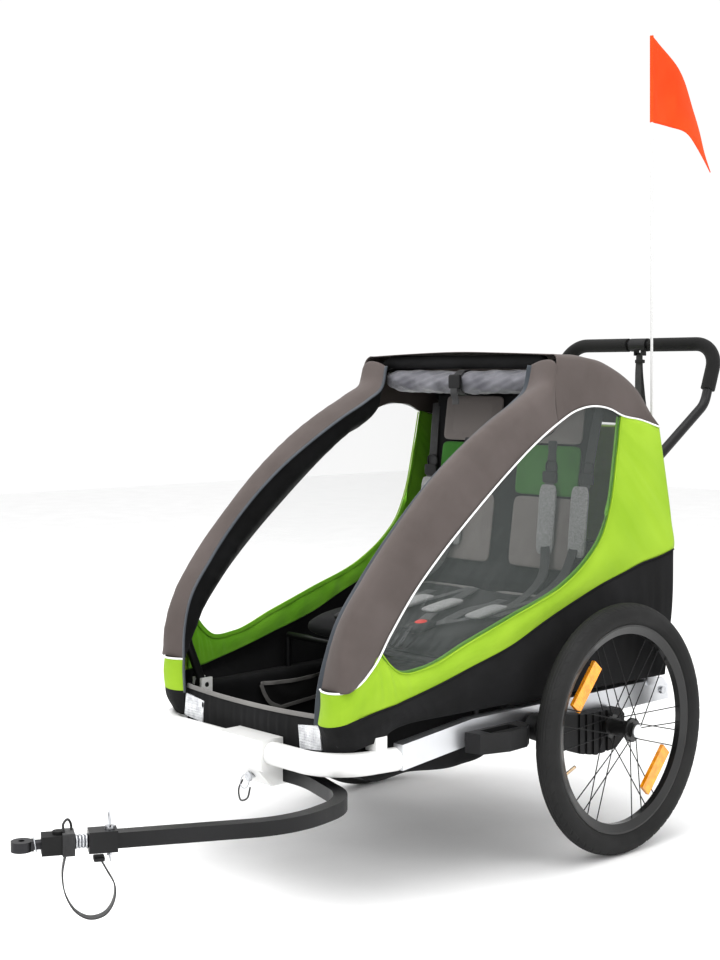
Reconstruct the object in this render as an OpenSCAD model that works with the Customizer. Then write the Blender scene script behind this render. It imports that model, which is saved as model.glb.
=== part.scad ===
// Two-seat child bicycle trailer: folding tube frame, fabric cabin, sprung wheels, side hitch arm.
// Millimetres. +X is the trailer's left, -Y is forward, +Z is up, and the ground is z = 0.
// Modules are drawn about the wheel axle's line (y = 0 above the axle); at_origin() centres the part.

/* [Wheels] */
// Outer radius of each tyre
tyre_r = 252; // [225:1:310]
// Radius of a tyre's round section
tyre_section_r = 23.5; // [18:0.5:29]
// Width of each rim
rim_w = 26; // [20:1:34]
// Radial depth of each rim
rim_depth = 19; // [14:1:26]
// Radius of each hub's flanges
hub_r = 24; // [20:1:32]
// Width of each hub
hub_w = 62; // [50:1:80]
// Number of spokes in each wheel
spoke_count = 24; // [16:4:36]
// Diameter of a spoke
spoke_d = 2.2; // [1.8:0.1:3]
// Diameter of the quick-release stub axles
axle_d = 12; // [10:0.5:15]

/* [Chassis] */
// Distance of each side rail's centre from the middle
rail_x = 297; // [280:1:370]
// Width of the side rails
rail_w = 24; // [18:1:30]
// Height of the side rails
rail_h = 47; // [38:1:56]
// Height of the side rails' top above the axles
rail_rise = 63; // [50:1:76]
// Diameter of the front bumper tube
bumper_d = 43; // [34:1:52]
// Distance from the wheel axle forward to the bumper's centre line
bumper_reach = 690; // [640:1:830]
// Thickness of each suspension arm
arm_w = 26; // [20:1:30]
// Length of each suspension arm from pivot to axle
arm_len = 207; // [170:1:250]
// Side of the square hitch tube
hitch_side = 25; // [20:1:30]

/* [Cabin] */
// Height of the roof above the side rails' top
roof_rise = 693; // [575:0.5:835]
// Diameter of the frame tubes
frame_d = 20; // [16:0.5:24]
// Diameter of the front pillar tubes
pillar_d = 18; // [15:0.5:20]
// Thickness of the fabric panels
cloth = 2.5; // [2:0.1:3]
// Thickness of the windows
window_t = 0.8; // [0.5:0.1:1.2]
// Height of the seat's top above the side rails' top
seat_rise = 185; // [150:1:222]
// Thickness of the seat cushion
seat_t = 40; // [30:1:48]

/* [Handle] */
// Half the width of the push handle
handle_x = 225; // [190:1:232]
// Diameter of the handle tube
handle_d = 22; // [18:0.5:25]
// Diameter of the foam grips
grip_d = 33; // [28:0.5:40]
// Height of the safety flag's pole
flag_pole_len = 1390; // [1150:1:1680]
// Diameter of the flag's pole
flag_pole_d = 6; // [5:0.5:8]

/* [Hidden] */

$fn = 64;
gap = 0.3;
run_gap = 0.05;
bend_seam = 0.02;

// Heights and the chassis
axle_z = tyre_r;
rail_top = axle_z + rail_rise;
rail_mid = rail_top - rail_h / 2;
rail_back_y = 245;
rail_front_y = 20 - bumper_reach + 115;
bumper_z = rail_mid - 25.5;
rail_out_x = rail_x + rail_w / 2;
rail_in_x = rail_x - rail_w / 2;
bumper_bend_r = 95;
bumper_turn = 80;
bumper_corner_x = rail_x - 112;

// Suspension and wheels, from the rail outwards
arm_x0 = rail_out_x + 6;
hub_x0 = arm_x0 + arm_w + 2;
wheel_x = max(hub_x0 + hub_w / 2, arm_x0 + arm_w + tyre_section_r + 6);
hub_x1 = wheel_x + hub_w / 2;
button_out = 9;
arm_drop = 25;
pivot_y = -sqrt(arm_len * arm_len - arm_drop * arm_drop);
pivot_z = axle_z + arm_drop;
pivot_bolt_r = 8;
bush_r = 14;
axle_r = axle_d / 2;
rim_r = tyre_r - 2 * tyre_section_r + 4;

// Side planes of the cabin: their place at y = 0, plane_z high, and how they lean
plane_x = rail_x + 7.3;
plane_z = rail_top + 285;
plane_yaw = 2.86;
plane_lean = 2.14;
nominal_rise = 693;

// Fold pivots
hoop_y = 180;
pillar_y = 102 - bumper_reach;
fold_z = rail_top + 16;
fold_pin_r = 5;
fold_boss_r = 14;
hoop_lean = 2.4;
pillar_x = rail_x - 51;
ear_t = 6;

// Fold, handle and seat geometry above the rails, as [y, height above rail top] at the nominal rise
function lift(points) = [for (p = points) [p[0], rail_top + p[1] * roof_rise / nominal_rise]];
skirt_z = rail_top + gap + 3 + run_gap;
front_edge = concat([[-612, skirt_z]], lift([[-640, 60], [-657, 109], [-655, 150], [-636, 195], [-598, 256],
    [-520, 346], [-410, 450], [-295, 529], [-173, 594], [-112, 625]]));
roof_edge = lift([[-95, 693], [-26, 689], [47, 677], [112, 650], [159, 618], [190, 580]]);
rear_edge = concat(lift([[208, 543], [220, 517], [235, 424], [248, 338], [251, 262], [246, 220],
    [230, 167], [212, 110]]), [[212, skirt_z]]);
window_edge = lift([[-584, 155], [-564, 124], [-534, 104], [-480, 105], [-250, 176], [-93, 228],
    [-20, 273], [22, 314], [52, 375], [72, 455], [95, 566], [61, 579], [21, 586], [-46, 577],
    [-98, 553], [-239, 463], [-359, 372], [-475, 263]]);
hoop_path = [for (p = [[0, 0], [19, 507], [-68, 621], [-255, 657]])
    [p[0], p[1] * roof_rise / nominal_rise]];
hoop_end = hoop_path[3];
pillar_path = lift([[pillar_y, 16], [pillar_y - 48, 130], [pillar_y + 83, 333],
    [pillar_y + 298, 507], [pillar_y + 478, 597]]);
roof_bar_r = frame_d / 2 - 0.5;
roof_bar_at = [hoop_y + hoop_end[0] + frame_d / 2, fold_z + hoop_end[1]];
roll_r = 26;
roll_at = [roof_bar_at[0], roof_bar_at[1] - roof_bar_r - gap - roll_r];
seat_y0 = -350;
seat_y1 = 34;
seat_top = rail_top + seat_rise;
seat_half = rail_x - 62;
buckle_y = -336;
buckle_x = 105;
seat_tube_r = 7;
seat_fall = 54;
seat_front_z = seat_top - seat_fall;
seat_slope = atan2(seat_fall, seat_y1 - seat_y0 - 12);
seat_tube_at = [seat_y0 + 20, seat_front_z - seat_t - gap - seat_tube_r];
seat_post_x = rail_in_x - seat_tube_r;

// Push handle: pivot, lower tubes and the raised loop
handle_pivot = lift([[252, 420]])[0];
handle_knee = handle_pivot + [248, 163];
handle_rise = 151;
handle_up = 68.5;
handle_knee_r = 60;
handle_corner_r = 62;
handle_lap = 25;
knee_tangent = handle_knee + handle_lap * [cos(handle_up), sin(handle_up)];
grip_at = handle_knee + handle_rise * [cos(handle_up), sin(handle_up)];
handle_pin_r = 5;
strap_drop = 215;
bracket_x = handle_x + 32;
bracket_w = rail_x - (handle_pivot[1] + 20 - fold_z) * tan(hoop_lean) - frame_d / 2 - gap
    - bracket_x;

// Hitch arm and coupler
hitch_z = bumper_z - bumper_d / 2 - 27.5;
hitch_y = 50 - bumper_reach;
hitch_path = [[-20, hitch_y], [150, hitch_y], [318, hitch_y - 53], [352, hitch_y - 210],
    [195, hitch_y - 510]];
hitch_bend = [200, 110, 200];
hitch_end = hitch_path[4];
hitch_dir = atan2(-300, -157);
spring_len = 22;
block_len = 52;
neck_len = 18;
eye_r = 17;
eye_bore_r = 5;
eye_t = 16;
eye_s = spring_len + block_len + neck_len + eye_r - 4;
pin_r = 4;
collar_len = 46;
collar_side = hitch_side + 9;
lock_pin_s = -34;
receiver_pin_x = 55;
strap_w = 20;
strap_t = 2.4;

// Flag
flag_x = bracket_x - 8;
flag_hoist = 190;
flag_cloth_t = 1.6;
flag_outline = [[0, 0], [41, -26], [82, -56], [138, -120], [176, -194], [222, -280], [157, -229],
    [115, -202], [63, -193], [0, -flag_hoist]];
flag_y = 268;
flag_z0 = rail_top + 17;

// Whole part's ends, for the origin
back_tip_y = grip_at[0] + grip_d / 2;
eye_front_y = hitch_end[1] + eye_s * sin(hitch_dir) - eye_r;
origin_y = (eye_front_y + back_tip_y) / 2;

module at_origin() {
    translate([0, -origin_y, 0]) children();
}

// ---- Shared shapes ----

// A flat plate standing in the Y-Z plane: points are [y, z], thickness runs from x = 0 to +X
module plate(points, t) {
    rotate([90, 0, 90]) linear_extrude(height = t) polygon(points);
}

// A round bar along +X from x0 to x1 at y, z
module x_bar(x0, x1, y, z, r) {
    translate([x0, y, z]) rotate([0, 90, 0]) cylinder(h = x1 - x0, r = r);
}

// Copies for both sides
module both_sides() {
    children();
    mirror([1, 0, 0]) children();
}

module on_hand(side) {
    mirror([side < 0 ? 1 : 0, 0, 0]) children();
}

// The leaning plane of one cabin side: x = 0 is its outer face, -X is inwards
module on_side(side) {
    on_hand(side) translate([plane_x, 0, plane_z]) rotate([0, -plane_lean, -plane_yaw])
        translate([0, 0, -plane_z]) children();
}

// Everything between the two cabin sides
module between_sides() {
    intersection() {
        on_side(1) translate([-900 - cloth - gap, -900, 0]) cube([900, 1500, 1800]);
        on_side(-1) translate([-900 - cloth - gap, -900, 0]) cube([900, 1500, 1800]);
    }
}

function unit(v) = v / norm(v);
function left_of(v) = [-v[1], v[0]];
function heading(v) = atan2(v[1], v[0]);
function turn_at(a, b, c) = let (u = unit(b - a), w = unit(c - b))
    atan2(u[0] * w[1] - u[1] * w[0], u * w);
function tangent_len(a, b, c, r) = r * tan(abs(turn_at(a, b, c)) / 2);

module profile(r, wall, square_bar) {
    difference() {
        if (square_bar) square(2 * r, center = true);
        else circle(r);
        if (wall > 0 && square_bar) square(2 * (r - wall), center = true);
        else if (wall > 0) circle(r - wall);
    }
}

// A tube in the X-Y plane along points, with an arc of radius bends[i - 1] at inner point i
module bent_tube(points, bends, r, wall = 0, square_bar = false) {
    last = len(points) - 1;
    trims = [for (i = [0 : last]) i == 0 || i == last ? 0
        : tangent_len(points[i - 1], points[i], points[i + 1], bends[i - 1])];
    for (i = [0 : last - 1]) {
        u = unit(points[i + 1] - points[i]);
        seam0 = i == 0 ? 0 : bend_seam;
        seam1 = i == last - 1 ? 0 : bend_seam;
        length = norm(points[i + 1] - points[i]) - trims[i] - trims[i + 1] - seam0 - seam1;
        start = points[i] + u * (trims[i] + seam0);
        translate([start[0], start[1], 0]) rotate([0, 0, heading(u)]) rotate([90, 0, 90])
            linear_extrude(height = length) profile(r, wall, square_bar);
    }
    for (i = [1 : last - 1]) {
        turn = turn_at(points[i - 1], points[i], points[i + 1]);
        u = unit(points[i] - points[i - 1]);
        w = unit(points[i + 1] - points[i]);
        side = turn > 0 ? 1 : -1;
        centre = points[i] - u * trims[i] + side * bends[i - 1] * left_of(u);
        first = turn > 0 ? heading(u) - 90 : heading(w) + 90;
        translate([centre[0], centre[1], 0]) rotate([0, 0, first])
            rotate_extrude(angle = abs(turn)) translate([bends[i - 1], 0])
                profile(r, wall, square_bar);
    }
}

// Turns a shape drawn in X-Y into the Y-Z plane: its x becomes Y and its y becomes Z
module stand_up() {
    rotate([90, 0, 90]) children();
}

// Points moved sideways by d, to the left of the direction of travel
function shifted(points, d) = [for (i = [0 : len(points) - 1])
    let (before = points[max(i - 1, 0)], after = points[min(i + 1, len(points) - 1)])
    points[i] + d * left_of(unit(after - before))];

// A sheet standing on edge along points, t thick to the right of the direction of travel
function reversed(list) = [for (i = [len(list) - 1 : -1 : 0]) list[i]];
function sheet(points, t) = concat(points, reversed(shifted(points, -t)));

// ---- Chassis ----

// Bumper centre line in plan, from one rail's front end round to the other's
function bumper_line() = let (
    up = [cos(bumper_turn), sin(bumper_turn)],
    bend = [bumper_corner_x + bumper_bend_r * tan(bumper_turn / 2), -bumper_reach],
    end = bend + up * (rail_front_y + bumper_reach + 20) / up[1])
    [[-end[0], end[1]], [-bend[0], bend[1]], bend, end];

// Two ears on a saddle plate that carry one folding tube's pin
module pivot_ears(x, y, base_z, tube_d) {
    half = tube_d / 2 + gap + ear_t;
    translate([x - half, y - fold_boss_r, base_z])
        cube([2 * half, 2 * fold_boss_r, rail_top + 1 - base_z]);
    for (s = [-1, 1]) {
        difference() {
            translate([x + s * (tube_d / 2 + gap + ear_t / 2) - ear_t / 2, y - fold_boss_r, base_z])
                cube([ear_t, 2 * fold_boss_r, fold_z + fold_boss_r - base_z]);
            x_bar(x - 40, x + 40, y, fold_z, fold_pin_r + run_gap);
        }
    }
}

module bumper_tube() {
    color("white") {
        difference() {
            translate([0, 0, bumper_z])
                bent_tube(bumper_line(), [bumper_bend_r, bumper_bend_r], bumper_d / 2, 2.5);
            translate([-700, rail_front_y - gap, 0]) cube([1400, 200, 600]);
        }
        both_sides() {
            translate([pillar_x - 17, pillar_y - fold_boss_r, rail_top - 14])
                cube([rail_x - pillar_x + 8, 2 * fold_boss_r, 10]);
            translate([pillar_x + 14, pillar_y - fold_boss_r, bumper_z + bumper_d / 2 - 1.5])
                cube([rail_x - pillar_x - 23, 2 * fold_boss_r,
                    rail_top - 6 - bumper_z - bumper_d / 2]);
            pivot_ears(pillar_x, pillar_y, rail_top - 6, pillar_d);
        }
    }
}

rail_outline = [[rail_back_y, rail_top - rail_h], [rail_back_y, rail_top - 16],
    [rail_back_y - 16, rail_top], [-370, rail_top], [rail_front_y, rail_top - 20],
    [rail_front_y, rail_top - 20 - rail_h], [-370, rail_top - rail_h]];

module side_rail(side) {
    color("gainsboro") on_hand(side) difference() {
        union() {
            translate([rail_in_x, 0, 0]) plate(rail_outline, rail_w);
            pivot_ears(rail_x, hoop_y, rail_top - 8, frame_d + 2);
        }
        translate([rail_in_x + 3, -360, rail_top - rail_h + 3])
            cube([rail_w - 6, 360 + pivot_y - 30, rail_h - 6]);
        translate([rail_in_x + 3, pivot_y + 40, rail_top - rail_h + 3])
            cube([rail_w - 6, hoop_y - 40 - pivot_y - 40, rail_h - 6]);
        x_bar(0, rail_out_x + 1, pivot_y, pivot_z, pivot_bolt_r + run_gap);
        x_bar(0, rail_out_x + 1, rail_back_y - 22, rail_top - 26, fold_pin_r + run_gap);
    }
}
module side_rail_left() { side_rail(1); }
module side_rail_right() { side_rail(-1); }

// Suspension beam and rear cross tube between the rails, and the seat's front tube on two posts
module cross_tubes() {
    color("black") {
        x_bar(-seat_post_x, seat_post_x, seat_tube_at[0], seat_tube_at[1], seat_tube_r);
        both_sides() translate([seat_post_x, seat_tube_at[0], rail_top - 18])
            cylinder(h = seat_tube_at[1] - rail_top + 18, r = seat_tube_r - gap);
        for (tube = [[pivot_y, pivot_z, 14], [rail_back_y - 40, rail_top - 35, 11]])
            difference() {
                x_bar(-rail_in_x, rail_in_x, tube[0], tube[1], tube[2]);
                x_bar(-rail_in_x - 1, rail_in_x + 1, tube[0], tube[1], pivot_bolt_r + run_gap);
            }
    }
}

// White sleeve on the bumper, with the receiver for the hitch tube below and behind it
module front_bracket() {
    sleeve_r = bumper_d / 2 + gap;
    half = hitch_side / 2 + gap;
    color("white") difference() {
        translate([-26, 0, 0]) plate([
            [-bumper_reach - 27, bumper_z + 26], [-bumper_reach + 26, bumper_z + 26],
            [-bumper_reach + 26, hitch_z + 17], [hitch_y + 21, hitch_z + 17],
            [hitch_y + 21, hitch_z - 17], [-bumper_reach + 10, hitch_z - 17],
            [-bumper_reach - 27, bumper_z - 27]], 128);
        x_bar(-30, 110, -bumper_reach, bumper_z, sleeve_r);
        translate([-30, hitch_y - half, hitch_z - half]) cube([140, 2 * half, 2 * half]);
        translate([88, -bumper_reach - 60, hitch_z - 18]) cube([20, 200, 35 - gap]);
        translate([receiver_pin_x, hitch_y + 30, hitch_z]) rotate([90, 0, 0])
            cylinder(h = 110, r = pin_r + run_gap);
    }
}

// Fabric tub: footwell floor and luggage floor
tub_half = rail_x - 47;
tub_front_y = 62 - bumper_reach;
tub_floor = [[tub_front_y, rail_top - 15], [tub_front_y + 10, rail_top - 77],
    [-336, rail_top - 102], [-250, rail_top - 76], [pivot_y - 29, rail_top - 18],
    [rail_back_y - 40, rail_top - 18], [rail_back_y - 37, rail_top + 8]];

module floor_tub() {
    color([0.13, 0.13, 0.14]) translate([-tub_half + gap, 0, 0])
        plate(concat(tub_floor, reversed(shifted(tub_floor, 3))), 2 * (tub_half - gap));
}

module tub_walls() {
    wall_top = rail_top + gap;
    color([0.13, 0.13, 0.14]) both_sides() {
        translate([tub_half, 0, 0]) plate(concat(tub_floor, [
[rail_back_y - 42, wall_top + 3],
            [rail_front_y + 6, wall_top + 3], [rail_front_y + 6, rail_top - 15]]), 2);
        difference() {
            translate([tub_half, rail_front_y + 130, wall_top]) cube([
                rail_out_x - 2 - tub_half, rail_back_y - 170 - rail_front_y, 3]);
            translate([rail_in_x - 20, hoop_y - 26, wall_top - 1]) cube([80, 60, 5]);
            translate([seat_post_x - 8, seat_tube_at[0] - 8, wall_top - 1]) cube([16, 16, 5]);
        }
    }
}

module front_apron() {
    y = 35 - bumper_reach;
    half = rail_x - 87;
    color([0.13, 0.13, 0.14]) {
        translate([-half, y, rail_top - 40]) cube([2 * half, 3, 66]);
        translate([-half, y - 1.5, rail_top + 20]) cube([2 * half, 6, 8]);
        translate([-half, y + 2, rail_top - 18]) cube([2 * half, tub_front_y - gap - y - 2, 3]);
    }
}

module front_reflectors() {
    color([0.85, 0.86, 0.88]) both_sides()
        translate([rail_x - 122, 35 - bumper_reach - 7 - gap, rail_top - 12])
            rotate([0, -7, 0]) translate([-30, 0, -22]) cube([60, 7, 44]);
}

// Plastic step guards on the outside of the rails, ahead of the wheels
module step_bumpers() {
    color([0.16, 0.16, 0.17]) both_sides() translate([0, 0, rail_top - 60])
        difference() {
            linear_extrude(height = 38) polygon([[rail_out_x + gap, -392], [rail_out_x + 34, -386],
                [rail_out_x + 54, -325], [rail_out_x + 50, -272], [rail_out_x + 32, -245],
                [rail_out_x + gap, -245]]);
            translate([rail_out_x + 10, -360, 4]) cube([26, 80, 40]);
        }
}

// Bolts: suspension pivots, rail ends and fold pins
module frame_bolts() {
    color([0.7, 0.71, 0.73]) both_sides() {
        x_bar(rail_in_x - 40, arm_x0 + arm_w + gap, pivot_y, pivot_z, pivot_bolt_r);
        x_bar(arm_x0 + arm_w + gap, arm_x0 + arm_w + 4 + gap, pivot_y, pivot_z, 13);
        x_bar(rail_in_x, rail_out_x, rail_back_y - 22, rail_top - 26, fold_pin_r);
        x_bar(rail_out_x, rail_out_x + 5, rail_back_y - 22, rail_top - 26, 8);
        x_bar(rail_x - frame_d / 2 - ear_t - 1 - gap, rail_x + frame_d / 2 + ear_t + 1 + gap,
            hoop_y, fold_z, fold_pin_r);
        x_bar(pillar_x - pillar_d / 2 - ear_t - gap, pillar_x + pillar_d / 2 + ear_t + gap,
            pillar_y, fold_z, fold_pin_r);
    }
    color([0.7, 0.71, 0.73]) translate([receiver_pin_x, hitch_y + 25, hitch_z])
        rotate([90, 0, 0]) {
            cylinder(h = 93, r = pin_r);
            translate([0, 0, 91]) cylinder(h = 4, r = 9);
        }
}

// Rubber bushes on the suspension pivots
module suspension_bushes() {
    color([0.08, 0.08, 0.08]) both_sides() difference() {
        x_bar(arm_x0, arm_x0 + arm_w, pivot_y, pivot_z, bush_r);
        x_bar(arm_x0 - 1, arm_x0 + arm_w + 1, pivot_y, pivot_z, pivot_bolt_r + run_gap);
    }
}

// ---- Wheels and suspension ----

module swing_arm(side) {
    color([0.15, 0.15, 0.16]) on_hand(side) translate([arm_x0, 0, 0]) difference() {
        union() {
            plate([[pivot_y - 8, pivot_z + 24], [pivot_y + 10, pivot_z + 25], [-70, axle_z + 32],
                [40, axle_z + 30], [52, axle_z + 16], [50, axle_z - 30], [24, axle_z - 50],
                [-40, axle_z - 54], [-90, axle_z - 44], [pivot_y - 5, pivot_z - 25]], arm_w);
            x_bar(0, arm_w, pivot_y, pivot_z, 25);
        }
        x_bar(-1, arm_w + 1, pivot_y, pivot_z, bush_r + run_gap);
        x_bar(-1, arm_w + 1, 0, axle_z, axle_r + run_gap);
        for (i = [0 : 4]) translate([arm_w - 4, -100 + 22 * i, axle_z - 60])
            cube([5, 9, 110]);
    }
}
module swing_arm_left() { swing_arm(1); }
module swing_arm_right() { swing_arm(-1); }

module stub_axle(side) {
    color([0.75, 0.76, 0.78]) on_hand(side) difference() {
        x_bar(arm_x0 + 1, hub_x1 + 1, 0, axle_z, axle_r);
        x_bar(hub_x1 - 14, hub_x1 + 2, 0, axle_z, 3 + run_gap);
    }
}
module stub_axle_left() { stub_axle(1); }
module stub_axle_right() { stub_axle(-1); }

module hub(side) {
    flange_x = hub_w / 2 - 6;
    color([0.1, 0.1, 0.1]) on_hand(side) difference() {
        union() {
            x_bar(hub_x0, hub_x1, 0, axle_z, 15);
            for (s = [-1, 1]) x_bar(wheel_x + s * flange_x - 3, wheel_x + s * flange_x + 3,
                0, axle_z, hub_r);
        }
        x_bar(hub_x0 - 1, hub_x1 + 1, 0, axle_z, axle_r + run_gap);
    }
}
module hub_left() { hub(1); }
module hub_right() { hub(-1); }

module rim(side) {
    inner = rim_r - rim_depth;
    color([0.12, 0.12, 0.12]) on_hand(side) translate([wheel_x, 0, axle_z]) rotate([0, 90, 0])
        rotate_extrude($fn = 128) difference() {
            polygon([[inner, -rim_w / 4], [rim_r - 4, -rim_w / 2], [rim_r, -rim_w / 2],
                [rim_r, -rim_w / 2 + 3], [rim_r - 6, -rim_w / 2 + 5], [rim_r - 6, rim_w / 2 - 5],
                [rim_r, rim_w / 2 - 3], [rim_r, rim_w / 2], [rim_r - 4, rim_w / 2],
                [inner, rim_w / 4]]);
            polygon([[inner + 3, -rim_w / 4 + 2], [rim_r - 9, -rim_w / 2 + 4],
                [rim_r - 9, rim_w / 2 - 4], [inner + 3, rim_w / 4 - 2]]);
        }
}
module rim_left() { rim(1); }
module rim_right() { rim(-1); }

module tyre(side) {
    color([0.17, 0.17, 0.17]) on_hand(side) translate([wheel_x, 0, axle_z]) rotate([0, 90, 0])
        rotate_extrude($fn = 128) difference() {
            translate([tyre_r - tyre_section_r, 0]) circle(tyre_section_r);
            translate([tyre_r - tyre_section_r, 0]) circle(tyre_section_r - 4);
            translate([rim_r - 50 + gap, -tyre_section_r]) square([50, 2 * tyre_section_r]);
        }
}
module tyre_left() { tyre(1); }
module tyre_right() { tyre(-1); }

// Spokes run from the flanges to the rim, each leaning the other way from its neighbour
module spokes(side) {
    reach = rim_r - rim_depth + 0.5;
    flange_x = hub_w / 2 - 6;
    lean = 40;
    color([0.3, 0.3, 0.31]) on_hand(side) translate([wheel_x, 0, axle_z])
        for (i = [0 : spoke_count - 1]) {
            s = i % 2 == 0 ? 1 : -1;
            t = floor(i / 2) % 2 == 0 ? 1 : -1;
            foot = [s * flange_x + s * (t > 0 ? 4.2 : -4.2), hub_r - 3, 0];
            rim_angle = t * lean;
            tip = [0, reach * cos(rim_angle), reach * sin(rim_angle)];
            run = tip - foot;
            rotate([i * 360 / spoke_count, 0, 0]) translate(foot)
                rotate([0, 0, atan2(run[1], run[0])])
                rotate([0, 90 - atan2(run[2], norm([run[0], run[1]])), 0])
                cylinder(h = norm(run), r = spoke_d / 2, $fn = 16);
        }
}
module spokes_left() { spokes(1); }
module spokes_right() { spokes(-1); }

module spoke_reflectors(side) {
    color([0.96, 0.6, 0.05]) on_hand(side) translate([wheel_x, 0, axle_z])
        for (a = [139, 317]) rotate([a, 0, 0])
            translate([-4, rim_r - rim_depth - 40 - 14, -52]) cube([8, 28, 104]);
}
module spoke_reflectors_left() { spoke_reflectors(1); }
module spoke_reflectors_right() { spoke_reflectors(-1); }

module hub_button(side) {
    color([0.8, 0.81, 0.83]) on_hand(side) {
        x_bar(hub_x1 - 8, hub_x1 + button_out - 4, 0, axle_z, 3);
        x_bar(hub_x1 + 5, hub_x1 + button_out, 0, axle_z, 13);
    }
}
module hub_button_left() { hub_button(1); }
module hub_button_right() { hub_button(-1); }

// ---- Folding frame ----

// The same line with its first point moved along it by d
function shortened(points, d) = [for (i = [0 : len(points) - 1])
    i == 0 ? points[0] + d * unit(points[1] - points[0]) : points[i]];

// A folding tube's end boss, bored for its pin
module fold_boss(x, y, z, half) {
    difference() {
        x_bar(x - half, x + half, y, z, fold_boss_r - 1);
        x_bar(x - half - 1, x + half + 1, y, z, fold_pin_r + run_gap);
    }
}

module rear_hoop() {
    color([0.2, 0.2, 0.21]) both_sides() {
        translate([rail_x, hoop_y, fold_z]) rotate([0, -hoop_lean, 0]) stand_up()
            bent_tube(shortened(hoop_path, fold_boss_r - 3), [110, 110], frame_d / 2, 1.8);
        fold_boss(rail_x, hoop_y, fold_z, frame_d / 2 + 1);
    }
}

// Cross bar at the front of the roof, between the hoop's tube ends
module roof_bar() {
    half = rail_x - hoop_end[1] * tan(hoop_lean) - frame_d / 2 - gap;
    color([0.2, 0.2, 0.21]) x_bar(-half, half, roof_bar_at[0], roof_bar_at[1], roof_bar_r);
}

// Plates that carry the handle's pivots behind the hoop tubes
module handle_brackets() {
    tube_y = hoop_y + hoop_path[1][0] * (handle_pivot[1] - fold_z) / hoop_path[1][1];
    color([0.16, 0.16, 0.17]) both_sides() {
        translate([bracket_x, 0, 0]) {
            union() {
                plate([[tube_y - 14, handle_pivot[1] - 20], [handle_pivot[0], handle_pivot[1] - 14],
                    [handle_pivot[0], handle_pivot[1] + 14], [tube_y - 14, handle_pivot[1] + 20]],
                    bracket_w);
                x_bar(0, bracket_w, handle_pivot[0], handle_pivot[1], 14);
            }
        }
        x_bar(handle_x - 17, bracket_x + 1, handle_pivot[0], handle_pivot[1], handle_pin_r);
        x_bar(handle_x - 20, handle_x - 14 - gap, handle_pivot[0], handle_pivot[1], 13);
    }
}

module pillar(side) {
    color([0.2, 0.2, 0.21]) on_hand(side) {
        translate([pillar_x, 0, 0]) stand_up()
            bent_tube(shortened(pillar_path, fold_boss_r - 3), [70, 170, 300], pillar_d / 2, 1.6);
        fold_boss(pillar_x, pillar_y, fold_z, pillar_d / 2);
    }
}
module pillar_left() { pillar(1); }
module pillar_right() { pillar(-1); }

// ---- Push handle ----

module handle_bar() {
    loop = [[-handle_x, bend_seam], [-handle_x, handle_rise - handle_lap],
        [handle_x, handle_rise - handle_lap], [handle_x, bend_seam]];
    color([0.12, 0.12, 0.12]) {
        both_sides() {
            translate([handle_x, 0, 0]) stand_up()
                bent_tube(shortened([handle_pivot, handle_knee, knee_tangent],
                    fold_boss_r + bend_seam), [handle_knee_r], handle_d / 2, 2);
            difference() {
                x_bar(handle_x - 13, handle_x + 13, handle_pivot[0], handle_pivot[1], 14);
                x_bar(handle_x - 20, handle_x + 20, handle_pivot[0], handle_pivot[1],
                    handle_pin_r + run_gap);
            }
        }
        translate([0, knee_tangent[0], knee_tangent[1]]) rotate([handle_up, 0, 0])
            bent_tube(loop, [handle_corner_r, handle_corner_r], handle_d / 2, 2);
    }
}

// Foam sleeves round both corners of the loop, leaving the clamp clear
module foam_grips() {
    color([0.1, 0.1, 0.1]) both_sides()
        translate([0, knee_tangent[0], knee_tangent[1]]) rotate([handle_up, 0, 0])
            difference() {
                bent_tube([[34, handle_rise - handle_lap], [handle_x, handle_rise - handle_lap],
                    [handle_x, 12]], [handle_corner_r], grip_d / 2,
                    (grip_d - handle_d) / 2 - run_gap);
            }
}

module handle_clamp() {
    color([0.14, 0.14, 0.15]) difference() {
        union() {
            x_bar(-24, 24, grip_at[0], grip_at[1], handle_d / 2 + 5);
            translate([-12, grip_at[0] - 9, grip_at[1] - 26]) cube([24, 18, 20]);
        }
        x_bar(-25, 25, grip_at[0], grip_at[1], handle_d / 2 + run_gap);
        x_bar(-8 - gap, 8 + gap, grip_at[0], grip_at[1] - 21, 12);
    }
    color([0.14, 0.14, 0.15]) x_bar(-12, 12, grip_at[0], grip_at[1] - 21, 2.5);
}

// Webbing loop that hangs from the clamp's pin
module wrist_strap() {
    top = [grip_at[0], grip_at[1] - 21];
    color([0.1, 0.1, 0.1]) translate([-8, 0, 0]) {
        difference() {
            x_bar(0, 16, top[0], top[1], 2.5 + run_gap + 2);
            x_bar(-1, 17, top[0], top[1], 2.5 + run_gap);
        }
        plate([[top[0] - 4.5, top[1] - 2], [top[0] - 3, top[1] - 3], [top[0] - 2, top[1] - 60],
            [top[0] - 14, top[1] - strap_drop + 20], [top[0] - 10, top[1] - strap_drop + 3],
            [top[0], top[1] - strap_drop + 2], [top[0] + 10, top[1] - strap_drop + 3],
            [top[0] + 14, top[1] - strap_drop + 20], [top[0] + 2, top[1] - 60],
            [top[0] + 3, top[1] - 3], [top[0] + 4.5, top[1] - 2],
            [top[0] + 4, top[1] - 60], [top[0] + 16, top[1] - strap_drop + 20],
            [top[0] + 11, top[1] - strap_drop], [top[0], top[1] - strap_drop - 1],
            [top[0] - 11, top[1] - strap_drop], [top[0] - 16, top[1] - strap_drop + 20],
            [top[0] - 4, top[1] - 60]], 16);
    }
}

// ---- Cabin fabric ----

module side_panel(side) {
    color([0.72, 0.86, 0.3]) on_side(side) difference() {
        translate([-cloth, 0, 0]) plate(concat(front_edge, roof_edge, rear_edge), cloth);
        translate([-cloth - 1, 0, 0]) plate(window_edge, cloth + 2);
    }
}
module side_panel_left() { side_panel(1); }
module side_panel_right() { side_panel(-1); }

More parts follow.
